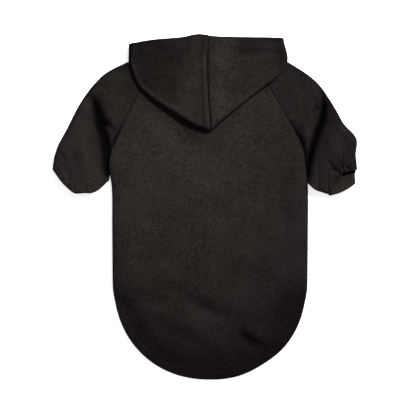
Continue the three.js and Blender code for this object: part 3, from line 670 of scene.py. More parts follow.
@dataclass(frozen=True)
class Draft:
    """The seam lines that neighbouring pieces share, on one side, with x counted outwards."""

    side: Side
    pattern: Pattern = Pattern()
    raglan_bow: float = 6.0
    turn_start: float = 0.55

    @property
    def shoulder(self) -> float:
        """How far out the neck ring's fold lies."""
        return self.pattern.neck_width * SHOULDER[self.side] - self.pattern.half

    @property
    def armpit(self) -> Array:
        """The armpit's place on the surface."""
        return np.array([self.pattern.body_width * ARMPIT[self.side], -self.pattern.armpit_depth, 0.0])

    def yoke(self, is_front: bool) -> float:
        """How far out the raglan seam starts at the neck."""
        if is_front:
            return self.pattern.front_yoke_width * ARMPIT[self.side]
        return self.pattern.yoke_width * YOKE[self.side]

    def shoulder_roll(self, is_front: bool) -> tuple[float, float]:
        """The level of the flat cloth and the width of its roll at the shoulder."""
        p = self.pattern
        return (p.floor, p.belly_round) if is_front else (p.top, p.shoulder_round)

    def neck(self, x: Any, is_front: bool) -> Array:
        """Works out the neck ring: a parabola seen from above, level on the flat, rolled at the shoulder.

        Args:
            x: how far out.
            is_front: the belly's ring, not the back's.

        Returns:
            The ring's points.
        """
        p = self.pattern
        x = np.asarray(x, float)
        low = p.throat_depth if is_front else p.neck_dip
        level, width = self.shoulder_roll(is_front)
        y = mix(-low, p.shoulder_rise, (x / self.shoulder) ** 2)
        return place_of(x, y, mix(p.seam, level, roll(self.shoulder - x, width)))

    def neck_normal(self, x: Any, is_front: bool) -> Array:
        """Finds the outward directions at the neck ring, square to the roll's quarter ellipse.

        Args:
            x: how far out.
            is_front: the belly's ring, not the back's.

        Returns:
            The directions: upright on the flat and level at the shoulder fold.
        """
        level, width = self.shoulder_roll(is_front)
        q = 1 - np.clip((self.shoulder - np.asarray(x, float)) / width, 0, 1)
        return unit(place_of(q / width, 0, np.sqrt(1 - q * q) / (level - self.pattern.seam)))

    def raglan(self, share: Any, is_front: bool) -> tuple[Array, Array, Array]:
        """The raglan seam from the neck (0) to the armpit (1).

        It is a straight line bowed outwards by a parabola. It lies level with the panel and comes
        down to the side seam near the armpit, where the two walls lie face to face.

        Args:
            share: how far along.
            is_front: the seam of the belly, not of the back.

        Returns:
            The points, the level direction away from the body, and how far the walls have turned.
        """
        p = self.pattern
        share = np.asarray(share, float)
        start = self.neck(self.yoke(is_front), is_front)
        end = self.armpit + (-p.half, 0, p.seam)
        turn = smooth(share, self.turn_start, 1)
        run = unit((end - start) * (1, 1, 0))
        out = np.array([-run[1], run[0], 0.0])
        point = start + (end - start) * share[..., None]
        point = point + out * (self.raglan_bow * share * (1 - share))[..., None]
        point[..., 2] = mix(start[2], end[2], turn)
        return point, out, turn

    @staticmethod
    def raglan_normal(out: Array, turn: Array, is_front: bool, lean: int) -> Array:
        """Finds the outward directions along a raglan seam, which lean over as the walls turn.

        Args:
            out: the level direction away from the body.
            turn: how far the walls have turned, up to a quarter turn at 1.
            is_front: the belly's seam, not the back's.
            lean: 1 on the body and -1 on the sleeve.

        Returns:
            The directions.
        """
        angle = turn[..., None] * math.pi / 2
        upright = np.array([0, 0, -1.0 if is_front else 1.0])
        return upright * np.cos(angle) + out * lean * np.sin(angle)

    def side_line(self, y: Any) -> Array:
        """Works out half the body's width, to the middle of the cloth.

        Args:
            y: how far up.

        Returns:
            The distances from the middle line.
        """
        p = self.pattern
        share = (-np.asarray(y, float) - p.armpit_depth) / (p.back_length - p.tail_length - p.armpit_depth)
        return p.body_width / 2 * read(SIDE_LINE, "down", self.side.value, share) - p.half

    def mirrored(self, points: Array) -> Array:
        """Turns x counted outwards into the garment's own x."""
        return points * (self.side.sign, 1, 1)


@dataclass(frozen=True)
class Tail:
    """The tail's outline, a half oval of the form across to the power n plus down to the power n = 1."""

    pattern: Pattern = Pattern()
    corner: float = math.radians(50)
    landing: tuple[float, float] = (2.0, 30.0)

    @property
    def start(self) -> float:
        """Where the tail begins."""
        return self.pattern.tail_length - self.pattern.back_length

    @property
    def drop(self) -> float:
        """From there to the middle of the cloth at the very end."""
        return self.pattern.tail_length - self.pattern.half

    def half(self, side: Side) -> float:
        """Half the width where the tail begins."""
        return float(Draft(side, self.pattern).side_line(self.start))

    def place(self, angle: Any) -> tuple[Array, Array]:
        """The shares across and down at an angle from the middle line."""
        power = 2 / self.pattern.tail_fullness
        return np.sin(angle) ** power, np.cos(angle) ** power

    def reach(self, across: Any) -> Array:
        """The share down at a share across."""
        power = self.pattern.tail_fullness
        return (1 - np.abs(across) ** power) ** (1 / power)

    def roundness(self, side: Side, x: Array, y: Array) -> Array:
        """Works out how far places lie from the oval's middle.

        Args:
            side: the side whose width counts.
            x: how far from the middle line.
            y: how far up.

        Returns:
            The shares: 0 at the middle line above the tail, and 1 on the outline.
        """
        power = self.pattern.tail_fullness
        across, down = np.abs(x) / self.half(side), np.maximum(self.start - y, 0) / self.drop
        return (across**power + down**power) ** (1 / power)

    def inset(self, side: Side, x: Array, y: Array) -> Array:
        """The distance in from the outline."""
        return np.maximum(1 - self.roundness(side, x, y), 0) * self.half(side)

    def landed(self, y: Any) -> Array:
        """How far the edge has come down to the surface, behind the belly's hem: 0 to 1."""
        return smooth(-np.asarray(y, float) - self.pattern.belly_length, *self.landing)


@dataclass
class Panel:
    """A piece of the body: rows across it, first between the raglan seams and then between the sides."""

    pattern: Pattern = Pattern()
    is_front: bool = False

    def half_grid(self, side: Side) -> Array:
        """One half, from the side edge to the middle line, with x counted outwards."""
        raise NotImplementedError

    def whole(self) -> Array:
        """Both halves as one grid, from the left edge to the right one."""
        left = Draft(Side.LEFT, self.pattern).mirrored(self.half_grid(Side.LEFT))
        return np.concatenate([left, self.half_grid(Side.RIGHT)[:, ::-1][:, 1:]], axis=1)

    def seam_directions(self, draft: Draft) -> Array:
        """The outward directions down the raglan seam, one for each row of the panel."""
        _, out, turn = draft.raglan(self.share, self.is_front)
        return draft.mirrored(draft.raglan_normal(out, turn, self.is_front, 1))

    def yoke_rows(self, draft: Draft, edge_y: Array, u: Array, share: Array, sag: Array) -> Array:
        """Works out how far up the rows between the raglan seams lie.

        The first row is the neck ring and the last one hangs below the armpits. Each row is a mix of
        the two, moved by as much as the seam is bowed there.

        Args:
            draft: the side's seam lines.
            edge_y: how far up each row ends.
            u: places along the rows, from the middle line (0) to the edge (1).
            share: how far down the seam each row lies, from the neck (0) to the armpit (1).
            sag: how far the last row hangs at each place.

        Returns:
            A height for each place.
        """
        yoke, armpit = draft.yoke(self.is_front), -self.pattern.armpit_depth
        bow = edge_y - mix(draft.neck(yoke, self.is_front)[1], armpit, share)
        return mix(draft.neck(u * yoke, self.is_front)[..., 1], armpit - sag, share) + bow


@dataclass
class BackPanel(Panel):
    """The long back, from the neck to the rounded tail, with its turned hem and its soft folds."""

    raglan_stations: int = 9
    side_stations: int = 13
    tail_stations: int = 10
    rows_each: int = 7
    tail_spread: float = 1.3
    edge_count: int = 14
    flat_count: int = 56
    armpit_sag: float = 8.0
    fold_rise: tuple[float, float] = (0.02, 0.25)
    ripple_rise: tuple[float, float] = (0.1, 0.7)
    least_spare: float = 0.1
    hem_raise: float = 0.3
    hem_round: float = 1.5
    hem_slope: float = 0.7
    hem_end: tuple[float, float] = (0.8, 1.3)
    stitch_at: float = 0.95
    stitch_dip: float = 0.45
    stitch_width: float = 1.3
    seam_dip: float = 0.5
    seam_width: float = 2.0
    seam_end: float = 0.7

    def __post_init__(self) -> None:
        """Works out the rows' stations and how far down the raglan seam each one lies."""
        self.tail = Tail(self.pattern)
        last = self.raglan_stations + self.side_stations + self.tail_stations
        self.station = np.linspace(0, last, last * self.rows_each + 1)
        self.share = np.clip(self.station / self.raglan_stations, 0, 1)

    def arc(self, u: Array) -> Array:
        """How a row hangs between its ends: the tail's own curve, 0 at the edge and 1 in the middle."""
        across, down = self.tail.place(self.tail.corner)
        return (self.tail.reach(u * across) - down) / (1 - down)

    def edges(self, draft: Draft) -> Array:
        """Finds where each row ends: along the raglan seam, down the side and round the tail.

        Args:
            draft: the side's seam lines.

        Returns:
            A point for each row.
        """
        p, tail = self.pattern, self.tail
        seam, _, _ = draft.raglan(self.share, False)
        beyond = self.station - self.raglan_stations
        y = mix(-p.armpit_depth, tail.start, np.clip(beyond / self.side_stations, 0, 1))
        sides = place_of(draft.side_line(y), y, p.seam)
        turned = np.clip((beyond - self.side_stations) / self.tail_stations, 0, 1)
        across, drop = tail.place(mix(math.pi / 2, tail.corner, turned**self.tail_spread))
        round_tail = place_of(tail.half(draft.side) * across, tail.start - tail.drop * drop, p.seam)
        is_raglan, is_tail = (self.share < 1)[:, None], (turned > 0)[:, None]
        return np.where(is_raglan, seam, np.where(is_tail, round_tail, sides))

    def folded(self, z: Array, x: Array, y: Array, rise: Array) -> Array:
        """Presses the folds and the cloth's unevenness in.

        A trough takes its depth where there is room below. Near the surface it takes ever less: the
        room times one less the exponential of minus the depth over the room.

        Args:
            z: the smooth back's height.
            x: places across the garment.
            y: places along it.
            rise: how far the back has risen from its edge, 0 to 1.

        Returns:
            The height with its folds.
        """
        p = self.pattern
        depth = fold_depth(BACK_FOLDS, x, y, p.body_width, p.back_length) * smooth(rise, *self.fold_rise)
        spare = np.maximum(z - p.floor - p.half, self.least_spare)
        pressed = np.where(depth > 0, spare * (1 - np.exp(-np.maximum(depth, 0) / spare)), depth)
        return z - pressed + ripples(BACK_RIPPLES, x, y) * smooth(rise, *self.ripple_rise)

    def hem(self, inset: Array) -> Array:
        """Works out how far the hem stands up: a low step inwards from the edge, with a stitched dent.

        Args:
            inset: the distance in from the outline.

        Returns:
            The height above the smooth tail.
        """
        width = self.pattern.hem_width
        step = smooth(inset, 0, self.hem_round) * (1 - smooth(inset, width * self.hem_slope, width))
        dent = np.exp(-(((inset - width * self.stitch_at) / self.stitch_width) ** 2))
        return self.hem_raise * step - self.stitch_dip * dent

    def half_grid(self, side: Side) -> Array:
        """One half, from the side edge to the middle line.

        A row hangs towards the tail in its middle. Its height is a quarter ellipse at the side, which
        becomes a long soft slope over the tail, less the folds, plus the hem.

        Args:
            side: which half.

        Returns:
            Rows by columns by three, with x counted outwards.
        """
        p, tail, draft, share = self.pattern, self.tail, Draft(side, self.pattern), self.share[:, None]
        edge = self.edges(draft)
        edge_x, edge_y, edge_z = (edge[:, k : k + 1] for k in range(3))
        _, corner_down = tail.place(tail.corner)
        sag_share = smooth(self.station, self.raglan_stations, self.station[-1])[:, None]
        sag = mix(self.armpit_sag, p.tail_length * (1 - corner_down), sag_share)
        distance = edge_steps(edge[:, 0], p.shoulder_round, self.edge_count, self.flat_count)
        x = edge_x - distance
        hang = self.arc(x / edge_x)
        on_raglan = self.yoke_rows(draft, edge_y, x / edge_x, share, self.armpit_sag * hang)
        y = np.where(share < 1, on_raglan, edge_y - sag * hang)
        side_level = mix(p.seam + p.seam_gap / 2, p.floor + p.hem_fold, tail.landed(edge_y))
        low = np.where(share < 1, edge_z, side_level)
        landed, inset = tail.landed(y), tail.inset(side, x, y)
        steep = roll(distance, p.shoulder_round)
        soft = smooth(inset / mix(p.shoulder_round, p.tail_slope, landed), 0, 1)
        rise = mix(steep, soft, landed)
        z = self.folded(mix(low, p.top, rise), side.sign * x, y, rise) + landed * self.hem(inset)
        beside = np.where(share < 1, distance, np.inf) / self.seam_width
        z -= self.seam_dip * np.exp(-(beside**2)) * (1 - smooth(share, self.seam_end, 1))
        return place_of(x, y, z)

    def wall(self) -> Wall:
        """Makes the whole panel, with the tail's flatter place and the hem's second layer inside.

        Returns:
            The wall, from the left edge to the right one.
        """
        p, tail, grid = self.pattern, self.tail, self.whole()

        def set_normals(free: Array) -> Array:
            """Turns the walls to lie against their neighbours along the seams."""
            middle = grid.shape[1] // 2
            halves = (slice(0, middle), 0), (slice(middle, None), -1)
            for side, (columns, edge) in zip(Side, halves):
                draft = Draft(side, p)
                free[0, columns] = draft.mirrored(draft.neck_normal(np.abs(grid[0, columns, 0]), False))
                lying = tail.landed(grid[:, edge, 1])[:, None]
                lower = unit(place_of(side.sign * (1 - lying[:, 0]), 0, lying[:, 0]))
                below = np.where(lying < 0.5, lower, free[:, edge])
                free[:, edge] = np.where(self.share[:, None] < 1, self.seam_directions(draft), below)
            return free

        away = np.hypot(grid[..., 0] - TAIL_FLAT["x"], grid[..., 1] - TAIL_FLAT["y"]) / TAIL_FLAT["reach"]
        grid += np.exp(-(away**2))[..., None] * (TAIL_FLAT["in_x"], TAIL_FLAT["in_y"], 0)
        half_side = np.where(grid[..., 0] < 0, tail.half(Side.LEFT), tail.half(Side.RIGHT))
        inset = np.maximum(1 - tail.roundness(Side.RIGHT, grid[..., 0], grid[..., 1]), 0) * half_side
        hem = tail.landed(grid[..., 1]) * (1 - smooth(inset / p.hem_width, *self.hem_end))
        return Wall(grid, set_normals=set_normals, outer=p.half, inner=p.half + p.hem_fold * hem)


@dataclass
class BellyPanel(Panel):
    """The shorter piece under the chest and belly, with the throat's scoop and the rear hem."""

    is_front: bool = True
    raglan_stations: int = 7
    side_stations: int = 8
    rows_each: int = 8
    edge_count: int = 6
    flat_count: int = 44
    sag: float = 4.0

    def __post_init__(self) -> None:
        """Works out how far down the raglan seam and down the side each row lies."""
        last = self.raglan_stations + self.side_stations
        station = np.linspace(0, last, last * self.rows_each + 1)
        self.share = np.clip(station / self.raglan_stations, 0, 1)
        self.down = np.clip((station - self.raglan_stations) / self.side_stations, 0, 1)

    def half_grid(self, side: Side) -> Array:
        """One half, from the side seam to the middle: a flat floor with rolled sides.

        A row hangs by a parabola in its middle, and rises by a quarter ellipse at its side.

        Args:
            side: which half.

        Returns:
            Rows by columns by three, with x counted outwards.
        """
        p, draft, share = self.pattern, Draft(side, self.pattern), self.share[:, None]
        seam, _, _ = draft.raglan(self.share, True)
        y = mix(-p.armpit_depth, -p.belly_length, self.down)
        sides = place_of(draft.side_line(y), y, p.seam - p.seam_gap / 2)
        edge = np.where(share < 1, seam, sides)
        edge_x, edge_y, edge_z = (edge[:, k : k + 1] for k in range(3))
        distance = edge_steps(edge[:, 0], p.belly_round, self.edge_count, self.flat_count)
        x = edge_x - distance
        u = x / edge_x
        hang = self.sag * (1 - u * u)
        y = np.where(share < 1, self.yoke_rows(draft, edge_y, u, share, hang), edge_y - hang)
        return place_of(x, y, mix(edge_z, p.floor, roll(distance, p.belly_round)))

    def wall(self) -> Wall:
        """Makes the whole panel, which faces down.

        Returns:
            The wall, from the left edge to the right one.
        """

        def set_normals(free: Array) -> Array:
            """Turns the walls to lie against their neighbours along the seams."""
            for side, edge in zip(Side, (0, -1)):
                seam = self.seam_directions(Draft(side, self.pattern))
                free[:, edge] = np.where(self.share[:, None] < 1, seam, (side.sign, 0, 0))
            return free

        half = self.pattern.half
        return Wall(self.whole(), facing=-1, set_normals=set_normals, outer=half, inner=half)


@dataclass
class Ring:
    """Places round a flattened tube: level top and bottom with round ends, beginning at the body."""

    edge_count: int
    flat_count: int

    def __post_init__(self) -> None:
        """Lists each place's share along the flat or angle round the end, its layer and its end."""
        count = self.edge_count
        quarter = np.arange(count) / count * math.pi / 2
        level = np.linspace(0, 1, self.flat_count + 1)
        none, blank = np.full(count, np.nan), np.full(self.flat_count + 1, np.nan)
        back = quarter[1:][::-1]
        self.flat = np.concatenate([none, level, none, none[1:], level[::-1], none[1:]])
        self.angle = np.concatenate([quarter, blank, quarter[::-1], quarter[1:], blank, back])
        top = count * 2 + self.flat_count + 1
        self.half = np.concatenate([np.full(top, 0.5), np.full(top - 2, -0.5)])
        inner_top, outer_top = np.full(count, -1), np.full(count, 1)
        middle = np.zeros(self.flat_count + 1)
        self.end = np.concatenate([inner_top, middle, outer_top, outer_top[1:], middle, inner_top[1:]])

    def across(self, rolled: Any, width: Any) -> Array:
        """Works out how far across each place lies: evenly on the flat, by a cosine round the ends.

        Args:
            rolled: how wide each round end is.
            width: the tube's whole width.

        Returns:
            Shares from the inner end (0) to the outer one (1), a row for each width.
        """
        rolled, width = np.atleast_1d(rolled)[:, None], np.atleast_1d(width)[:, None]
        level = mix(rolled / width, 1 - rolled / width, np.nan_to_num(self.flat))
        near = rolled * (1 - np.cos(np.nan_to_num(self.angle))) / width
        return np.where(self.end == 0, level, np.where(self.end < 0, near, 1 - near))

    @property
    def lift(self) -> Array:
        """How high each place lies, from the bottom (0) to the top (1)."""
        return np.where(self.end == 0, 0.5 + self.half, 0.5 + self.half * np.sin(np.nan_to_num(self.angle)))


@dataclass(frozen=True)
class CuffFrame:
    """Where a cuff lies: the middle of its seam, its two directions and its levels."""

    side: Side
    pattern: Pattern = Pattern()

    @property
    def along(self) -> Array:
        """The way that the cuff points."""
        angle = math.radians(self.pattern.cuff_turn)
        return np.array([math.sin(angle), -math.cos(angle), 0.0])

    def across_at(self, slant: float) -> Array:
        """The way across the cuff, outwards, turned further by some degrees."""
        angle = math.radians(self.pattern.cuff_turn + slant)
        return np.array([math.cos(angle), math.sin(angle), 0.0])

    @property
    def across(self) -> Array:
        """The way across the cuff at its seam."""
        return self.across_at(0.0)

    @property
    def centre(self) -> Array:
        """The middle of the seam."""
        p = self.pattern
        out, down = CUFF_PLACE[self.side]
        return Draft(self.side, p).armpit + (p.sleeve_width * out, -p.sleeve_length * down, 0)

    @property
    def bottom(self) -> float:
        """The level of the middle of the cuff's lower wall."""
        return self.pattern.floor + self.pattern.face_to_face

    @property
    def top(self) -> float:
        """The level of the middle of the cuff's upper wall."""
        return self.bottom + self.pattern.cuff_height - self.pattern.cloth


@dataclass
class Sleeve:
    """A raglan sleeve, lying flat, whose full end is gathered to the cuff and puffs out over it."""

    side: Side
    pattern: Pattern = Pattern()
    main_count: int = 96
    hang_count: int = 14
    turn_count: int = 12
    return_count: int = 8
    lower_shares: tuple[float, float] = (1 / 6, 5 / 6)
    rolled: float = 9.0
    neck_share: float = 0.26
    blend_end: float = 0.42
    edge_count: int = 9
    flat_count: int = 76
    evenings: int = 6
    fold_start: tuple[float, float] = (0.05, 0.25)
    gathers: int = 8
    gather_ends: int = 5
    gather_pitches: tuple[float, ...] = (0.45, 0.8, 1.2, 1.7)
    gather_phases: float = 6.3
    gather_height: float = 0.9
    gather_length: float = 17.0
    gather_change: float = 0.2
    return_clearance: float = 2.5
    press: float = 0.3

    def __post_init__(self) -> None:
        """Draws up what the sleeve shares with its neighbours."""
        self.draft = Draft(self.side, self.pattern)
        self.cuff = CuffFrame(self.side, self.pattern)
        self.ring = Ring(self.edge_count, self.flat_count)

    def line(self, column: str, along: Any) -> Array:
        """A column of the sleeve's table."""
        return read(SLEEVE_LINE[self.side], "along", column, along)

    def ends(self, along: Array) -> tuple[Array, Array]:
        """Finds the two ends of the sections, beside the body and outside.

        Args:
            along: shares of the sleeve's length.

        Returns:
            The inner ends and the outer ones, on the surface.
        """
        p, armpit = self.pattern, self.draft.armpit
        y = armpit[1] - p.sleeve_length * self.line("inner", along)
        inside_x = np.maximum(self.draft.side_line(y), armpit[0] - p.half) + p.cloth - self.press
        outside_x = armpit[0] + p.sleeve_width * self.line("out", along) - p.half
        outside_y = armpit[1] - p.sleeve_length * self.line("down", along)
        return place_of(inside_x, y, 0), place_of(outside_x, outside_y, 0)

    def section(self, along: Array, across: Array) -> Array:
        """Finds points of the sections: straight between their ends, bowed by a parabola to the cuff.

        Args:
            along: shares of the sleeve's length.
            across: shares of the section, from the body outwards.

        Returns:
            The points, on the surface.
        """
        inside, outside = self.ends(along)
        points = mix(inside, outside, across[..., None])
        points[..., 1] -= self.pattern.sleeve_length * self.line("bow", along) * 4 * across * (1 - across)
        return points

    def layered(self, along: Array, across: Array, lift: Array) -> Array:
        """Finds section points where the lower layer is shorter than the upper one.

        Args:
            along: shares of the sleeve's length.
            across: shares of the section.
            lift: from the lower layer (0) to the upper one (1).

        Returns:
            The points, on the surface.
        """
        short = along - self.pattern.lower_layer_short * along**2
        above = smooth(lift, 0, 0.5)[..., None]
        return mix(self.section(short, across), self.section(along, across), above)

    def end_line(self, across: Array) -> Array:
        """Finds the upper layer's hanging end, seen from above.

        Args:
            across: shares from the body outwards.

        Returns:
            The points, on the surface.
        """
        p = self.pattern
        inside, outside = self.ends(np.array(1.0))
        x = mix(inside[0], outside[0] + p.cloth, across)
        down = read(SLEEVE_END, "across", self.side.value, across)
        return place_of(x, self.draft.armpit[1] - p.sleeve_length * down + p.half, 0)

    def ring_line(self, across: Array) -> Array:
        """Finds the seam round the cuff, seen from above: a straight line that laps over the knit.

        Args:
            across: shares from the body outwards.

        Returns:
            The points, on the surface.
        """
        p, cuff = self.pattern, self.cuff
        half = p.cuff_width / 2 - p.rib_cloth / 2 + p.face_to_face
        return cuff.centre + cuff.across * mix(-half, half, across)[..., None] + cuff.along * p.cuff_lap

    def armhole(self) -> tuple[Array, Array]:
        """Finds the seam line round the armhole and along the neck.

        Returns:
            Its points, and the outward directions there.
        """
        p, draft = self.pattern, self.draft
        inward = 1 - self.ring.across(self.rolled, p.armpit_depth)[0]
        points, normals = np.zeros((len(inward), 3)), np.zeros((len(inward), 3))
        for is_front in (False, True):
            chosen = (self.ring.half < 0) == is_front
            share = inward[chosen]
            on_neck = share < self.neck_share
            _, first_out, _ = draft.raglan(0.0, is_front)
            start = draft.yoke(is_front) + p.seam_gap * first_out[0]
            x = mix(draft.shoulder, start, np.clip(share / self.neck_share, 0, 1))
            seam_share = np.clip((share - self.neck_share) / (1 - self.neck_share), 0, 1)
            seam, out, turn = draft.raglan(seam_share, is_front)
            away = p.seam_gap + p.cloth * np.sin(turn * math.pi / 2)
            seam = seam + out * away[:, None]
            seam[:, 1] = np.minimum(seam[:, 1], draft.neck(seam[:, 0], is_front)[:, 1])
            points[chosen] = np.where(on_neck[:, None], draft.neck(x, is_front), seam)
            leaning = draft.raglan_normal(out, turn, is_front, -1)
            normals[chosen] = np.where(on_neck[:, None], draft.neck_normal(x, is_front), leaning)
        return points, normals

    def main_grid(self, armhole: Array) -> Array:
        """Works out the rows from the armhole down to where the end hangs.

        Each is a flattened tube. Near the armhole the rows move by ever less of the way to its line.

        Args:
            armhole: the line of the first row.

        Returns:
            Rows by columns by three.
        """
        p = self.pattern
        along = np.linspace(0, 1, self.main_count + 1)[:, None]
        inside, outside = self.ends(along[:, 0])
        width = np.linalg.norm(outside - inside, axis=1)
        across = self.ring.across(self.rolled, width)
        lift = np.broadcast_to(self.ring.lift, across.shape)
        points = self.layered(np.broadcast_to(along, across.shape), across, lift)
        top = p.sleeve_height * self.line("high", along) - p.half
        points[..., 2] = mix(p.floor, top, lift)
        fade = (1 - smooth(along, 0, self.blend_end))[..., None]
        return points + (armhole - points[0]) * fade

    def end_grid(self, start: Array) -> Array:
        """Works out the hanging end, which turns under in a half round and comes back to the cuff.

        While the upper layer turns, the lower one goes straight to the cuff's seam by lower_shares.

        Args:
            start: the last row before it.

        Returns:
            Rows by columns by three.
        """
        p, cuff, ring = self.pattern, self.cuff, self.ring
        puff_top = p.sleeve_height - p.half
        return_top = cuff.top + p.face_to_face
        radius = (puff_top - return_top) / 2
        full = ring.across(self.rolled, p.sleeve_width)[0]
        small = ring.across((return_top - p.floor) / 2, p.cuff_width + 2 * p.face_to_face)[0]
        above_share = smooth(ring.lift, 0, 0.5)[:, None]
        lower = self.layered(np.ones_like(full), full, np.zeros_like(full))
        seam = self.ring_line(small)
        rows = []
        for turned in np.linspace(0, 1, self.turn_count + 1):
            angle = turned * math.pi
            above = self.end_line(full) - cuff.along * radius * (1 - math.sin(angle))
            below = mix(lower, seam, mix(*self.lower_shares, turned))
            row = mix(below, above, above_share)
            row[:, 2] = mix(p.floor, return_top + radius * (1 + math.cos(angle)), ring.lift)
            rows.append(row)
        limit = self.end_line(full) @ cuff.along - self.return_clearance
        over = np.maximum(seam @ cuff.along - limit, 0)[:, None]
        last = seam - cuff.along * over * above_share
        last[:, 2] = mix(p.floor, return_top, ring.lift)
        hang = [mix(start, rows[0], k / self.hang_count) for k in range(1, self.hang_count)]
        back = [mix(rows[-1], last, (k + 1) / self.return_count) for k in range(self.return_count)]
        return np.stack(hang + rows + back)

    def exposed(self) -> Array:
        """Works out how far each row's upper layer lies on top.

        Returns:
            A share for each row: 1 down to the hanging end, less round it by a cosine, 0 underneath.
        """
        turned = (1 + np.cos(np.linspace(0, math.pi, self.turn_count + 1))) / 2
        on_top = np.ones(self.main_count + self.hang_count)
        return np.concatenate([on_top, turned, np.zeros(self.return_count)])[:, None]

    def pressed(self, grid: Array) -> Array:
        """Presses the folds into the upper layer, with gathers that fade away from the hanging end.

        The gathers are a sum of seeded sine waves across the sleeve, under a bell whose width varies.

        Args:
            grid: the smooth sleeve.

        Returns:
            The pressed sleeve.
        """
        p, armpit = self.pattern, self.draft.armpit
        upper = self.ring.lift * self.exposed()
        out, up = grid[..., 0] - armpit[0], grid[..., 1] - armpit[1]
        below_neck = smooth(np.linspace(0, 1, len(grid))[:, None], *self.fold_start)
        change = ripples(SLEEVE_RIPPLES[self.side], out, up)
        change = change - fold_depth(SLEEVE_FOLDS[self.side], out, up, p.sleeve_width, -p.sleeve_length)
        across = self.ring.across(self.rolled, p.sleeve_width)[0]
        away = np.linalg.norm((grid - self.end_line(across))[..., :2], axis=-1)
        draw = np.random.default_rng(GATHER_SEEDS[self.side])
        wave, reach = np.zeros_like(across), np.zeros_like(across)
        for pitch in self.gather_pitches:
            turns = 2 * math.pi * pitch * across
            wave = wave + np.sin(self.gathers * turns + draw.uniform(0, self.gather_phases))
            reach = reach + np.sin(self.gather_ends * turns + draw.uniform(0, self.gather_phases))
        strength = read(SLEEVE_GATHERS, "across", self.side.value, across) * self.gather_height
        near = np.exp(-((away / (self.gather_length * (1 + self.gather_change * reach))) ** 2))
        grid = grid.copy()
        grid[..., 2] += (change * below_neck + strength * wave / 2 * near) * upper
        grid[..., 2] = np.maximum(grid[..., 2], p.floor + p.face_to_face * upper)
        return grid

    def wall(self) -> Wall:
        """Makes the whole sleeve, from the armhole to the cuff's seam.

        Returns:
            The wall, closed round.
        """
        armhole, normals = self.armhole()
        main = self.main_grid(armhole)
        grid = evened(np.concatenate([main, self.end_grid(main[-1])]), self.evenings)
        grid, half = self.draft.mirrored(self.pressed(grid)), self.pattern.half

        def set_normals(free: Array) -> Array:
            """Turns the wall to lie against the body along the armhole."""
            free[0] = self.draft.mirrored(normals)
            return free

        return Wall(grid, self.side.sign, True, half, half, set_normals)


@dataclass
class Cuff:
    """A ribbed cuff: a flattened loop of knit whose ribs run along it."""

    side: Side
    pattern: Pattern = Pattern()
    ribs: int = 36
    points_each: int = 6
    rows: int = 22
    rib_depth: float = 0.8

    def loop(self, share: Array, swell: Array) -> tuple[Array, Array]:
        """Points of the flattened loop: two straights joined by half rounds.

        Args:
            share: the distance round, as a share of the girth.
            swell: how far each point stands out.

        Returns:
            Their places across and up.
        """
        frame = CuffFrame(self.side, self.pattern)
        radius = (frame.top - frame.bottom) / 2
        straight = self.pattern.cuff_width - self.pattern.rib_cloth - 2 * radius
        arc = math.pi * radius
        run = share * (2 * straight + 2 * arc)
        reach = radius + swell
        first, second = (run - straight) / radius, (run - 2 * straight - arc) / radius
        pieces = [run < straight, run < straight + arc, run < 2 * straight + arc]
        x = np.select(
            pieces,
            [run - straight / 2, straight / 2 + reach * np.sin(first), 1.5 * straight + arc - run],
            -straight / 2 - reach * np.sin(second),
        )
        z = np.select(pieces, [reach, reach * np.cos(first), -reach], -reach * np.cos(second))
        return x, z

    def wall(self) -> Wall:
        """Makes the whole cuff, whose ribs stand out by the cosine of the way round.

        Returns:
            The wall, closed round.
        """
        p, frame = self.pattern, CuffFrame(self.side, self.pattern)
        count = self.ribs * self.points_each
        share = np.arange(count) / count
        swell = self.rib_depth * (np.abs(np.cos(math.pi * self.ribs * share)) - 1)
        down = np.linspace(0, 1, self.rows + 1)[:, None]
        x, z = self.loop(share, swell)
        half = (p.cuff_width - p.rib_cloth) / 2
        reach = down * (p.cuff_length - p.cuff_bow * (x / half) ** 2)
        across = mix(frame.across, frame.across_at(p.cuff_slant) * p.cuff_taper, down)[:, None]
        grid = frame.centre + across * x[:, None] + frame.along * reach[..., None]
        grid[..., 2] = (frame.top + frame.bottom) / 2 + z
        grid = Draft(self.side, p).mirrored(grid)
        half_cloth = p.rib_cloth / 2
        return Wall(grid, self.side.sign, True, half_cloth, half_cloth)


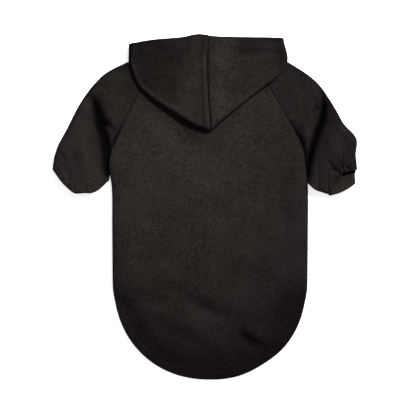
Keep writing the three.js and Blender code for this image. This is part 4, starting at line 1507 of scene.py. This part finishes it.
@dataclass
class HoodHalf:
    """Half of the hood, laid back over the shoulders.

    Each column starts at the neck ring. At the back it stands up, turns back over the nape, runs down
    to the fold line and turns again to the face hem. The turns open out towards the shoulder fold,
    past which the column runs straight to the hem below the throat.
    """

    side: Side
    pattern: Pattern = Pattern()
    segment_rows: tuple[int, ...] = (3, 22, 34, 26, 66)
    back_steps: tuple[int, int] = (22, 74)
    front_steps: tuple[int, int] = (6, 34)
    top_start: float = 12.0
    groove: float = 4.6
    groove_at_hem: float = 0.2
    groove_width: float = 1.0
    form_start: tuple[float, float] = (-2.0, 10.0)
    hem_depth: float = 16.5
    hem_raise: float = 0.3
    hem_slope: float = 3.0
    row_gap: float = 3.2
    stitch_dip: float = 0.45
    stitch_width: float = 1.2
    sway_width: float = 45.0
    corner_start: float = 0.7
    corner_depth: float = 22.0
    overlap: float = 0.3

    def __post_init__(self) -> None:
        """Draws up the seam lines that the half shares."""
        self.draft = Draft(self.side, self.pattern)

    def hem(self, x: Array) -> Array:
        """How far up the face hem lies."""
        share = x / self.draft.shoulder
        return self.pattern.hood_reach * read(HOOD_HEM, "across", self.side.value, share) - self.pattern.half

    def front(self, x: Array) -> Array:
        """Works out the columns below the throat, which run straight along the surface to the hem.

        Args:
            x: how far out each column lies.

        Returns:
            Rows by columns by three.
        """
        start = self.draft.neck(x, True) + (0, self.pattern.seam_gap, 0)
        share = (np.maximum(x, 0) / self.draft.shoulder) ** self.pattern.throat_curve
        far = mix(start[:, 1] + self.pattern.front_stand, self.hem(np.array(self.draft.shoulder)), share)
        down = np.linspace(0, 1, sum(self.segment_rows) + 1)[:, None]
        grid = np.broadcast_to(start, (len(down), *start.shape)).copy()
        grid[..., 1] = mix(start[:, 1], far, down)
        return grid

    def turned(self, x: Array) -> tuple[Array, Array, Array]:
        """Works out the smooth columns over the nape.

        A column is a chain of straight runs and half rounds: it stands by the collar, turns up and
        over, runs down the nape, turns again and runs to the hem. Its rows are shared out among the
        runs, and evenly where it has opened out past the hood's side.

        Args:
            x: how far out each column lies.

        Returns:
            The points, the distance to the hem, and how far each point lies in the upper layer.
        """
        p, draft = self.pattern, self.draft
        start = draft.neck(x, False) + (0, p.seam_gap, 0)
        share = x / draft.shoulder
        nape_level, top_level = p.nape_height - p.half, p.hood_height - p.half
        first, second = (nape_level - p.top) / 2, (top_level - nape_level) / 2
        fold = -p.hood_depth * read(HOOD_FOLD, "across", self.side.value, share) + p.half
        past = np.clip((share - p.hood_side) / (1 - p.hood_side), 0, 1)
        open_share = np.sqrt(1 - past**2)
        turn = math.pi * np.sqrt(open_share)
        stand = p.collar * open_share
        nape = np.maximum(start[:, 1] + stand - fold - second, 0) * open_share
        lengths = [stand, first * turn, nape, second * turn]
        radii, ways = (0, first, 0, second), (0, 1, 0, -1)

        def travel(distance: Array) -> tuple[Array, Array]:
            """How far up and how high a column has come after a distance."""
            rest, heading = distance.copy(), np.zeros_like(distance)
            y, z = np.zeros_like(distance), np.zeros_like(distance)
            for length, radius, way in zip(lengths, radii, ways):
                step = np.minimum(rest, length)
                if way:
                    after = heading + way * step / radius
                    y += way * radius * (np.sin(after) - np.sin(heading))
                    z += way * radius * (np.cos(heading) - np.cos(after))
                    heading = after
                else:
                    y += step * np.cos(heading)
                    z += step * np.sin(heading)
                rest = rest - step
            return y + np.maximum(rest, 0), z

        bent = sum(lengths)
        flat = self.hem(x) - start[:, 1] - travel(bent)[0]
        marks = [np.zeros_like(x)]
        for length, count in zip([*lengths, flat], self.segment_rows):
            base = marks[-1]
            marks += [base + length * (k + 1) / count for k in range(count)]
        even = np.linspace(0, 1, len(marks))[:, None] * (bent + flat)
        distance = mix(even, np.stack(marks), open_share)
        y, z = travel(distance)
        z -= p.hem_droop * np.clip((distance - bent) / flat, 0, 1) ** 2 * open_share
        on_top = smooth(distance - bent + second * 2, 0, self.top_start) * open_share
        return start + place_of(0, y, z), bent + flat - distance, on_top

    def relief(self, x: Array, y: Array, to_hem: Array) -> Array:
        """Works out the upper layer's small forms.

        They are the unevenness less the folds, the two stitched dents and the step of the hem, the
        seam's groove and the ridge beside it, both bells, and the fall to the shoulder.

        Args:
            x: how far out.
            y: how far up.
            to_hem: the distance to the face hem.

        Returns:
            The height above the smooth layer.
        """
        world_x, form, depth = self.side.sign * x, HOOD_FORM[self.side], self.hem_depth
        lift = ripples(HOOD_RIPPLES, world_x, y) - fold_depth(HOOD_FOLDS, world_x, y)
        for line in (depth, depth - self.row_gap):
            lift -= self.stitch_dip * np.exp(-(((to_hem - line) / self.stitch_width) ** 2))
        lift += self.hem_raise * (1 - smooth(to_hem, depth - self.hem_slope, depth))
        low, high = self.form_start
        below_hem = smooth(to_hem, depth + low, depth + high)
        groove = np.exp(-((x / self.groove_width) ** 2))
        lift -= self.groove * mix(self.groove_at_hem, 1.0, below_hem) * groove
        lift += form["ridge"] * np.exp(-(((x - form["ridge_at"]) / form["ridge_width"]) ** 2)) * below_hem
        return lift - form["fall"] * smooth(x, 0, self.draft.shoulder)

    def back(self, x: Array) -> Array:
        """Works out the columns over the nape, with their relief and the centre seam's sway.

        Args:
            x: how far out each column starts.

        Returns:
            Rows by columns by three.
        """
        grid, to_hem, on_top = self.turned(x)
        away, y = grid[..., 0], grid[..., 1]
        sway = read(HOOD_SWAY, "y", "x", y) * np.clip(1 - away / self.sway_width, 0, 1)
        grid[..., 2] += self.relief(away, y, to_hem) * on_top
        grid[..., 0] += self.side.sign * sway * on_top
        return grid

    def wall(self) -> Wall:
        """Makes the whole half, whose face hem is drawn in at the corner.

        Returns:
            The wall, from the centre seam on top round the shoulder to the throat.
        """
        p, draft = self.pattern, self.draft
        width = np.array([draft.shoulder])
        back_x = draft.shoulder - edge_steps(width, p.shoulder_round, *self.back_steps)[0][::-1]
        front_x = draft.shoulder - edge_steps(width, p.belly_round, *self.front_steps)[0][1:]
        back_x[0] = front_x[-1] = -self.overlap
        grid = np.concatenate([self.back(back_x), self.front(front_x)], axis=1)
        below_corner = self.hem(np.array(draft.shoulder)) - grid[..., 1]
        outside = smooth(grid[..., 0], draft.shoulder * self.corner_start, draft.shoulder)
        pull = outside * (1 - smooth(below_corner, 0, self.corner_depth))
        grid[..., 0] -= HOOD_FORM[self.side]["corner"] * pull
        grid = draft.mirrored(grid)

        def set_normals(free: Array) -> Array:
            """Leaves the neck ring square to it and keeps the centre seam upright."""
            count = len(back_x)
            free[0, :count] = draft.mirrored(draft.neck_normal(back_x, False))
            free[0, count:] = draft.mirrored(draft.neck_normal(front_x, True))
            free[:, [0, -1], 0] = 0
            return unit(free)

        return Wall(grid, -self.side.sign, False, p.half, p.half, set_normals)


@dataclass
class Number:
    """A number in a shader: a socket that takes part in sums and products."""

    sheet: "NodeSheet"
    socket: bpy.types.NodeSocket

    def _with(self, operation: str, other: Any) -> "Number":
        """The result of a Math node on this number and another."""
        return self.sheet.number("ShaderNodeMath", {"operation": operation}, {0: self, 1: other})

    def __add__(self, other: Any) -> "Number":
        """The sum."""
        return self._with("ADD", other)

    def __mul__(self, other: Any) -> "Number":
        """The product."""
        return self._with("MULTIPLY", other)

    __radd__, __rmul__ = __add__, __mul__


class NodeSheet:
    """A new material's nodes."""

    def __init__(self, name: str) -> None:
        """Makes the material with its one shader."""
        self.material = bpy.data.materials.new(name)
        self.material.use_nodes = True
        self.tree = self.material.node_tree
        self.shader = self.tree.nodes["Principled BSDF"]

    def fill(self, node: bpy.types.Node, sockets: dict[Any, Any]) -> None:
        """Sets or links the inputs of a node.

        Args:
            node: the node.
            sockets: values, numbers or other nodes' outputs, by the input's name or number.
        """
        for key, value in sockets.items():
            value = value.socket if isinstance(value, Number) else value
            if isinstance(value, bpy.types.NodeSocket):
                self.tree.links.new(value, node.inputs[key])
            else:
                node.inputs[key].default_value = value

    def add(self, kind: str, settings: dict[str, Any], sockets: dict[Any, Any]) -> bpy.types.Node:
        """Adds a node.

        Args:
            kind: the node's type.
            settings: its own settings, set first.
            sockets: values or links of its inputs.

        Returns:
            The node.
        """
        node = self.tree.nodes.new(kind)
        for key, value in settings.items():
            setattr(node, key, value)
        self.fill(node, sockets)
        return node

    def number(self, kind: str, settings: dict[str, Any], sockets: dict[Any, Any], out: Any = 0) -> Number:
        """Adds a node and gives one of its outputs as a number."""
        return Number(self, self.add(kind, settings, sockets).outputs[out])

    def noise(self, place: bpy.types.NodeSocket, scale: float, rough: float = 0.6) -> Number:
        """Smooth noise with features of about one over the scale, in metres."""
        sockets = {"Vector": place, "Scale": scale, "Detail": 3.0, "Roughness": rough}
        return self.number("ShaderNodeTexNoise", {}, sockets)

    def steps(self, value: Number, low: float, high: float) -> Number:
        """Rises from 0 at low to 1 at high."""
        settings = {"interpolation_type": "SMOOTHSTEP", "clamp": True}
        sockets = {"Value": value, "From Min": low, "From Max": high}
        return self.number("ShaderNodeMapRange", settings, sockets)

    def colours(self, share: Number, low: Sequence[float], high: Sequence[float]) -> bpy.types.NodeSocket:
        """The colour at a share of the way between two."""
        sockets = {0: share, 6: (*low, 1), 7: (*high, 1)}
        return self.add("ShaderNodeMix", {"data_type": "RGBA"}, sockets).outputs[2]

    def scaled(self, colour: bpy.types.NodeSocket, share: Number) -> bpy.types.NodeSocket:
        """A colour times a number."""
        sockets = {0: colour, "Scale": share}
        return self.add("ShaderNodeVectorMath", {"operation": "SCALE"}, sockets).outputs[0]

    def dress(self, colour: bpy.types.NodeSocket, relief: dict[str, Any], roughness: float) -> None:
        """Gives the shader of a cloth without any sheen its colour, relief and roughness.

        Args:
            colour: the base colour.
            relief: the inputs of the bump: its strength, its depth in metres and its height.
            roughness: how matte the cloth is.
        """
        normal = self.add("ShaderNodeBump", {}, relief).outputs[0]
        plain = {"Roughness": roughness, "Specular IOR Level": 0.0}
        self.fill(self.shader, {"Base Color": colour, "Normal": normal, **plain})


@dataclass(frozen=True)
class FleeceFinish:
    """Black sweatshirt fleece with a short brushed nap, slightly uneven in tone.

    Painted shade: the colour is darker where the cloth lies low, in its creases, troughs and towards
    its edges. The tone falls from its full value at one height to a share of it at another, both in
    millimetres.
    """

    name: str
    dark: tuple[float, float, float] = (0.0050, 0.0040, 0.0038)
    light: tuple[float, float, float] = (0.0128, 0.0105, 0.0099)
    # The heights between which the painted shade fades in, and the share of the colour left at the low one
    low: float = 0.0
    high: float = 1.0
    painted_shade_tone: float = 1.0
    roughness: float = 0.95
    nap_scale: float = 1500.0
    nap_share: float = 0.3
    fluff_scale: float = 540.0
    fluff_share: float = 0.56
    cloud_scale: float = 28.0
    cloud_share: float = 0.14
    cloud_rough: float = 0.5
    contrast: tuple[float, float] = (0.40, 0.60)
    nap_strength: float = 0.7
    nap_depth: float = 0.00035

    def build(self) -> bpy.types.Material:
        """Makes the material: cloudy tone, fine mottling, painted shade by height and a nap in the bump.

        Returns:
            The material.
        """
        sheet = NodeSheet(self.name)
        place = sheet.add("ShaderNodeTexCoord", {}, {}).outputs["Object"]
        nap = sheet.noise(place, self.nap_scale)
        fluff = sheet.noise(place, self.fluff_scale)
        cloud = sheet.noise(place, self.cloud_scale, self.cloud_rough)
        mottle = nap * self.nap_share + fluff * self.fluff_share + cloud * self.cloud_share
        tone = sheet.steps(mottle, *self.contrast)
        # Painted shade: the colour is scaled down where the cloth lies low, by its height above the floor
        level = sheet.number("ShaderNodeSeparateXYZ", {}, {0: place}, 2)
        full = sheet.steps(level, self.low * MM, self.high * MM) * (1 - self.painted_shade_tone) + self.painted_shade_tone
        colour = sheet.scaled(sheet.colours(tone, self.dark, self.light), full)
        height = nap * 0.5 + fluff * 0.5
        relief = {"Strength": self.nap_strength, "Distance": self.nap_depth, "Height": height}
        sheet.dress(colour, relief, self.roughness)
        return sheet.material


@dataclass(frozen=True)
class RibFinish:
    """Black ribbed knit: columns of small loops that follow the cuff's own map.

    A wave texture of scale one has waves_each waves in a metre, which gives the loops' pitch.
    """

    name: str = "ribbed_knit"
    dark: tuple[float, float, float] = (0.0050, 0.0040, 0.0036)
    light: tuple[float, float, float] = (0.0270, 0.0225, 0.0195)
    loop_pitch: float = 0.0011
    waves_each: float = 3.2
    loop_bend: float = 1.5
    loop_share: float = 0.35
    fuzz_scale: float = 1300.0
    contrast: tuple[float, float] = (0.25, 0.8)
    relief_share: float = 0.6
    relief_strength: float = 0.8
    loop_depth: float = 0.0003
    roughness: float = 0.92

    def build(self) -> bpy.types.Material:
        """Makes the material: loops from a wave along the ribs, with a little noise.

        Returns:
            The material.
        """
        sheet = NodeSheet(self.name)
        coordinates = sheet.add("ShaderNodeTexCoord", {}, {})
        settings = {"wave_type": "BANDS", "bands_direction": "Y", "wave_profile": "SIN"}
        scale = 1 / self.loop_pitch / self.waves_each
        sockets = {"Vector": coordinates.outputs["UV"], "Scale": scale, "Distortion": self.loop_bend}
        loops = sheet.number("ShaderNodeTexWave", settings, sockets, "Fac")
        fuzz = sheet.noise(coordinates.outputs["Object"], self.fuzz_scale)
        tone = sheet.steps(loops * self.loop_share + fuzz * (1 - self.loop_share), *self.contrast)
        height = loops * self.relief_share + fuzz * (1 - self.relief_share)
        relief = {"Strength": self.relief_strength, "Distance": self.loop_depth, "Height": height}
        sheet.dress(sheet.colours(tone, self.dark, self.light), relief, self.roughness)
        return sheet.material


# The finish of each kind of piece, or of a solid by its own name. All but the belly's and the cuffs'
# are darker where the cloth lies low: painted shade in the creases, troughs and edges, strongest on the
# sleeves.
FINISHES: dict[str, FleeceFinish | RibFinish] = {
    "back": FleeceFinish("fleece_back_painted_shade", low=2.0, high=10.5, painted_shade_tone=0.6),
    "belly": FleeceFinish("fleece_belly"),
    # The sleeves' colour falls to about an eighth low in their creases: painted shade
    "sleeve": FleeceFinish("fleece_sleeve_painted_shade", low=3.0, high=15.5, painted_shade_tone=0.12),
    # The hood's halves are lit and shaded copies of one fleece: the left one's lighter colour is lower, as
    # painted shade, and the right one's higher, as painted light; both also darken with height as painted
    # shade
    "hood_left": FleeceFinish(
        "fleece_hood_left_painted_shade", light=(0.0124, 0.0102, 0.0096), low=15.5, high=25.0, painted_shade_tone=0.42
    ),
    "hood_right": FleeceFinish(
        "fleece_hood_right_painted_light_and_shade", light=(0.0146, 0.0120, 0.0113), low=14.5, high=25.0, painted_shade_tone=0.15
    ),
    "cuff": RibFinish(),
}


@dataclass(frozen=True)
class Lamp:
    """A lamp: its place, the point that it faces, its size in metres and its power in watts.

    With a spread, in degrees, it is a spot lamp with a soft rim. Without one it is a square lamp.
    """

    name: str
    place: tuple[float, float, float]
    target: tuple[float, float, float]
    size: float
    power: float
    spread: float = 0.0

    def build(self) -> None:
        """Makes the lamp and turns it to its target."""
        data = bpy.data.lights.new(self.name, "SPOT" if self.spread else "AREA")
        data.energy = self.power
        if self.spread:
            data.spot_size, data.spot_blend = math.radians(self.spread), 1.0
            data.shadow_soft_size = self.size
        else:
            data.size = self.size
        lamp = bpy.data.objects.new(self.name, data)
        lamp.location = self.place
        x, y, z = np.array(self.place) - np.array(self.target)
        lamp.rotation_euler = (math.atan2(math.hypot(x, y), z), 0, math.atan2(y, x) + math.pi / 2)
        bpy.context.scene.collection.objects.link(lamp)


@dataclass(frozen=True)
class Studio:
    """The photograph's light and view: straight above, soft light from the upper right, a white floor."""

    place: Place
    view_width: float = 0.4576
    view_left: float = 2.53
    view_below: float = 151.8
    lens: float = 135.0
    sensor: float = 36.0
    clip: tuple[float, float] = (0.05, 20.0)
    floor_size: float = 6.0
    floor_white: float = 0.93
    floor_glow: float = 0.7
    floor_roughness: float = 0.9
    world_light: float = 0.45
    lamps: tuple[Lamp, ...] = (
        Lamp("key", (1.8, 1.95, 1.6), (0, 0.05, 0), 1.3, 135.0),
        Lamp("pool", (0.46, 0.65, 1.27), (-0.036, 0.064, 0), 0.16, 365.0, 14.5),
    )

    def build(self) -> None:
        """Makes the camera, the floor, the world and the lamps."""
        bpy.context.scene.view_settings.view_transform = "Standard"
        self.camera()
        self.floor()
        self.world()
        for lamp in self.lamps:
            lamp.build()

    def camera(self) -> None:
        """Makes the camera, which looks straight down from where the view is as wide as it should be."""
        scene = bpy.context.scene
        data = bpy.data.cameras.new("camera")
        data.lens, data.sensor_width = self.lens, self.sensor
        data.clip_start, data.clip_end = self.clip
        camera = bpy.data.objects.new("camera", data)
        x, y, _ = self.place.to_frame(np.array([-self.view_left, -self.view_below, 0.0]))
        camera.location = (x, y, self.view_width * self.lens / self.sensor)
        scene.collection.objects.link(camera)
        scene.camera = camera

    def floor(self) -> None:
        """Makes a plain matte white floor just under the cloth."""
        half = self.floor_size / 2
        corners = np.array([[-half, -half, 0], [half, -half, 0], [half, half, 0], [-half, half, 0]])
        made = make_object("floor", corners, np.array([[0, 1, 2, 3]]))
        sheet, white = NodeSheet("studio_floor"), (*(self.floor_white,) * 3, 1)
        glow = {"Emission Color": white, "Emission Strength": self.floor_glow}
        sheet.fill(sheet.shader, {"Base Color": white, "Roughness": self.floor_roughness, **glow})
        made.data.materials.append(sheet.material)

    def world(self) -> None:
        """Makes even white light from all round."""
        world = bpy.data.worlds.new("studio")
        world.use_nodes = True
        background = world.node_tree.nodes["Background"]
        background.inputs[0].default_value = (1, 1, 1, 1)
        background.inputs[1].default_value = self.world_light
        bpy.context.scene.world = world


@dataclass(frozen=True)
class Cut:
    """How a piece is cut and laid: the width and length of its cloth, and its flat area, in metres."""

    width: float
    length: float
    area: float | None = None
    held: str = "laid"


@dataclass
class Hoodie:
    """The whole garment: makes each piece, dresses it and hides the solid that it stands for."""

    pattern: Pattern
    place: Place

    def __post_init__(self) -> None:
        """Makes the materials."""
        self.materials = {key: finish.build() for key, finish in FINISHES.items()}

    def piece(self, name: str, node: str, kind: str, wall: Wall) -> None:
        """Args:
            name: the piece's name.
            node: the solid that it replaces.
            kind: which material it takes where its node has none of its own.
            wall: its shape.
        """
        made = make_cloth(name, wall, self.place)
        made.data.materials.append(self.materials[node if node in self.materials else kind])
        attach(made, "root")
        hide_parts(node)
        LOG.info("%s: %d faces", name, len(made.data.polygons))

    def build(self) -> None:
        """Makes every piece."""
        p = self.pattern
        self.piece("back_cloth", "back_panel", "back", BackPanel(p).wall())
        self.piece("belly_cloth", "belly_panel", "belly", BellyPanel(p).wall())
        for side in Side:
            name = side.value
            self.piece(f"sleeve_cloth_{name}", f"sleeve_{name}", "sleeve", Sleeve(side, p).wall())
            self.piece(f"cuff_knit_{name}", f"cuff_{name}", "cuff", Cuff(side, p).wall())
            self.piece(f"hood_cloth_{name}", f"hood_{name}", "hood", HoodHalf(side, p).wall())


def write_sizes() -> None:
    """Brings the scene's placements up to date."""
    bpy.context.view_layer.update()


def main() -> None:
    """Builds the garment and the studio."""
    logging.basicConfig(level=logging.INFO, format="%(message)s")
    pattern = Pattern()
    place = Place.from_frame(pattern)
    Studio(place).build()
    Hoodie(pattern, place).build()
    write_sizes()


if __name__ == "__main__":
    main()
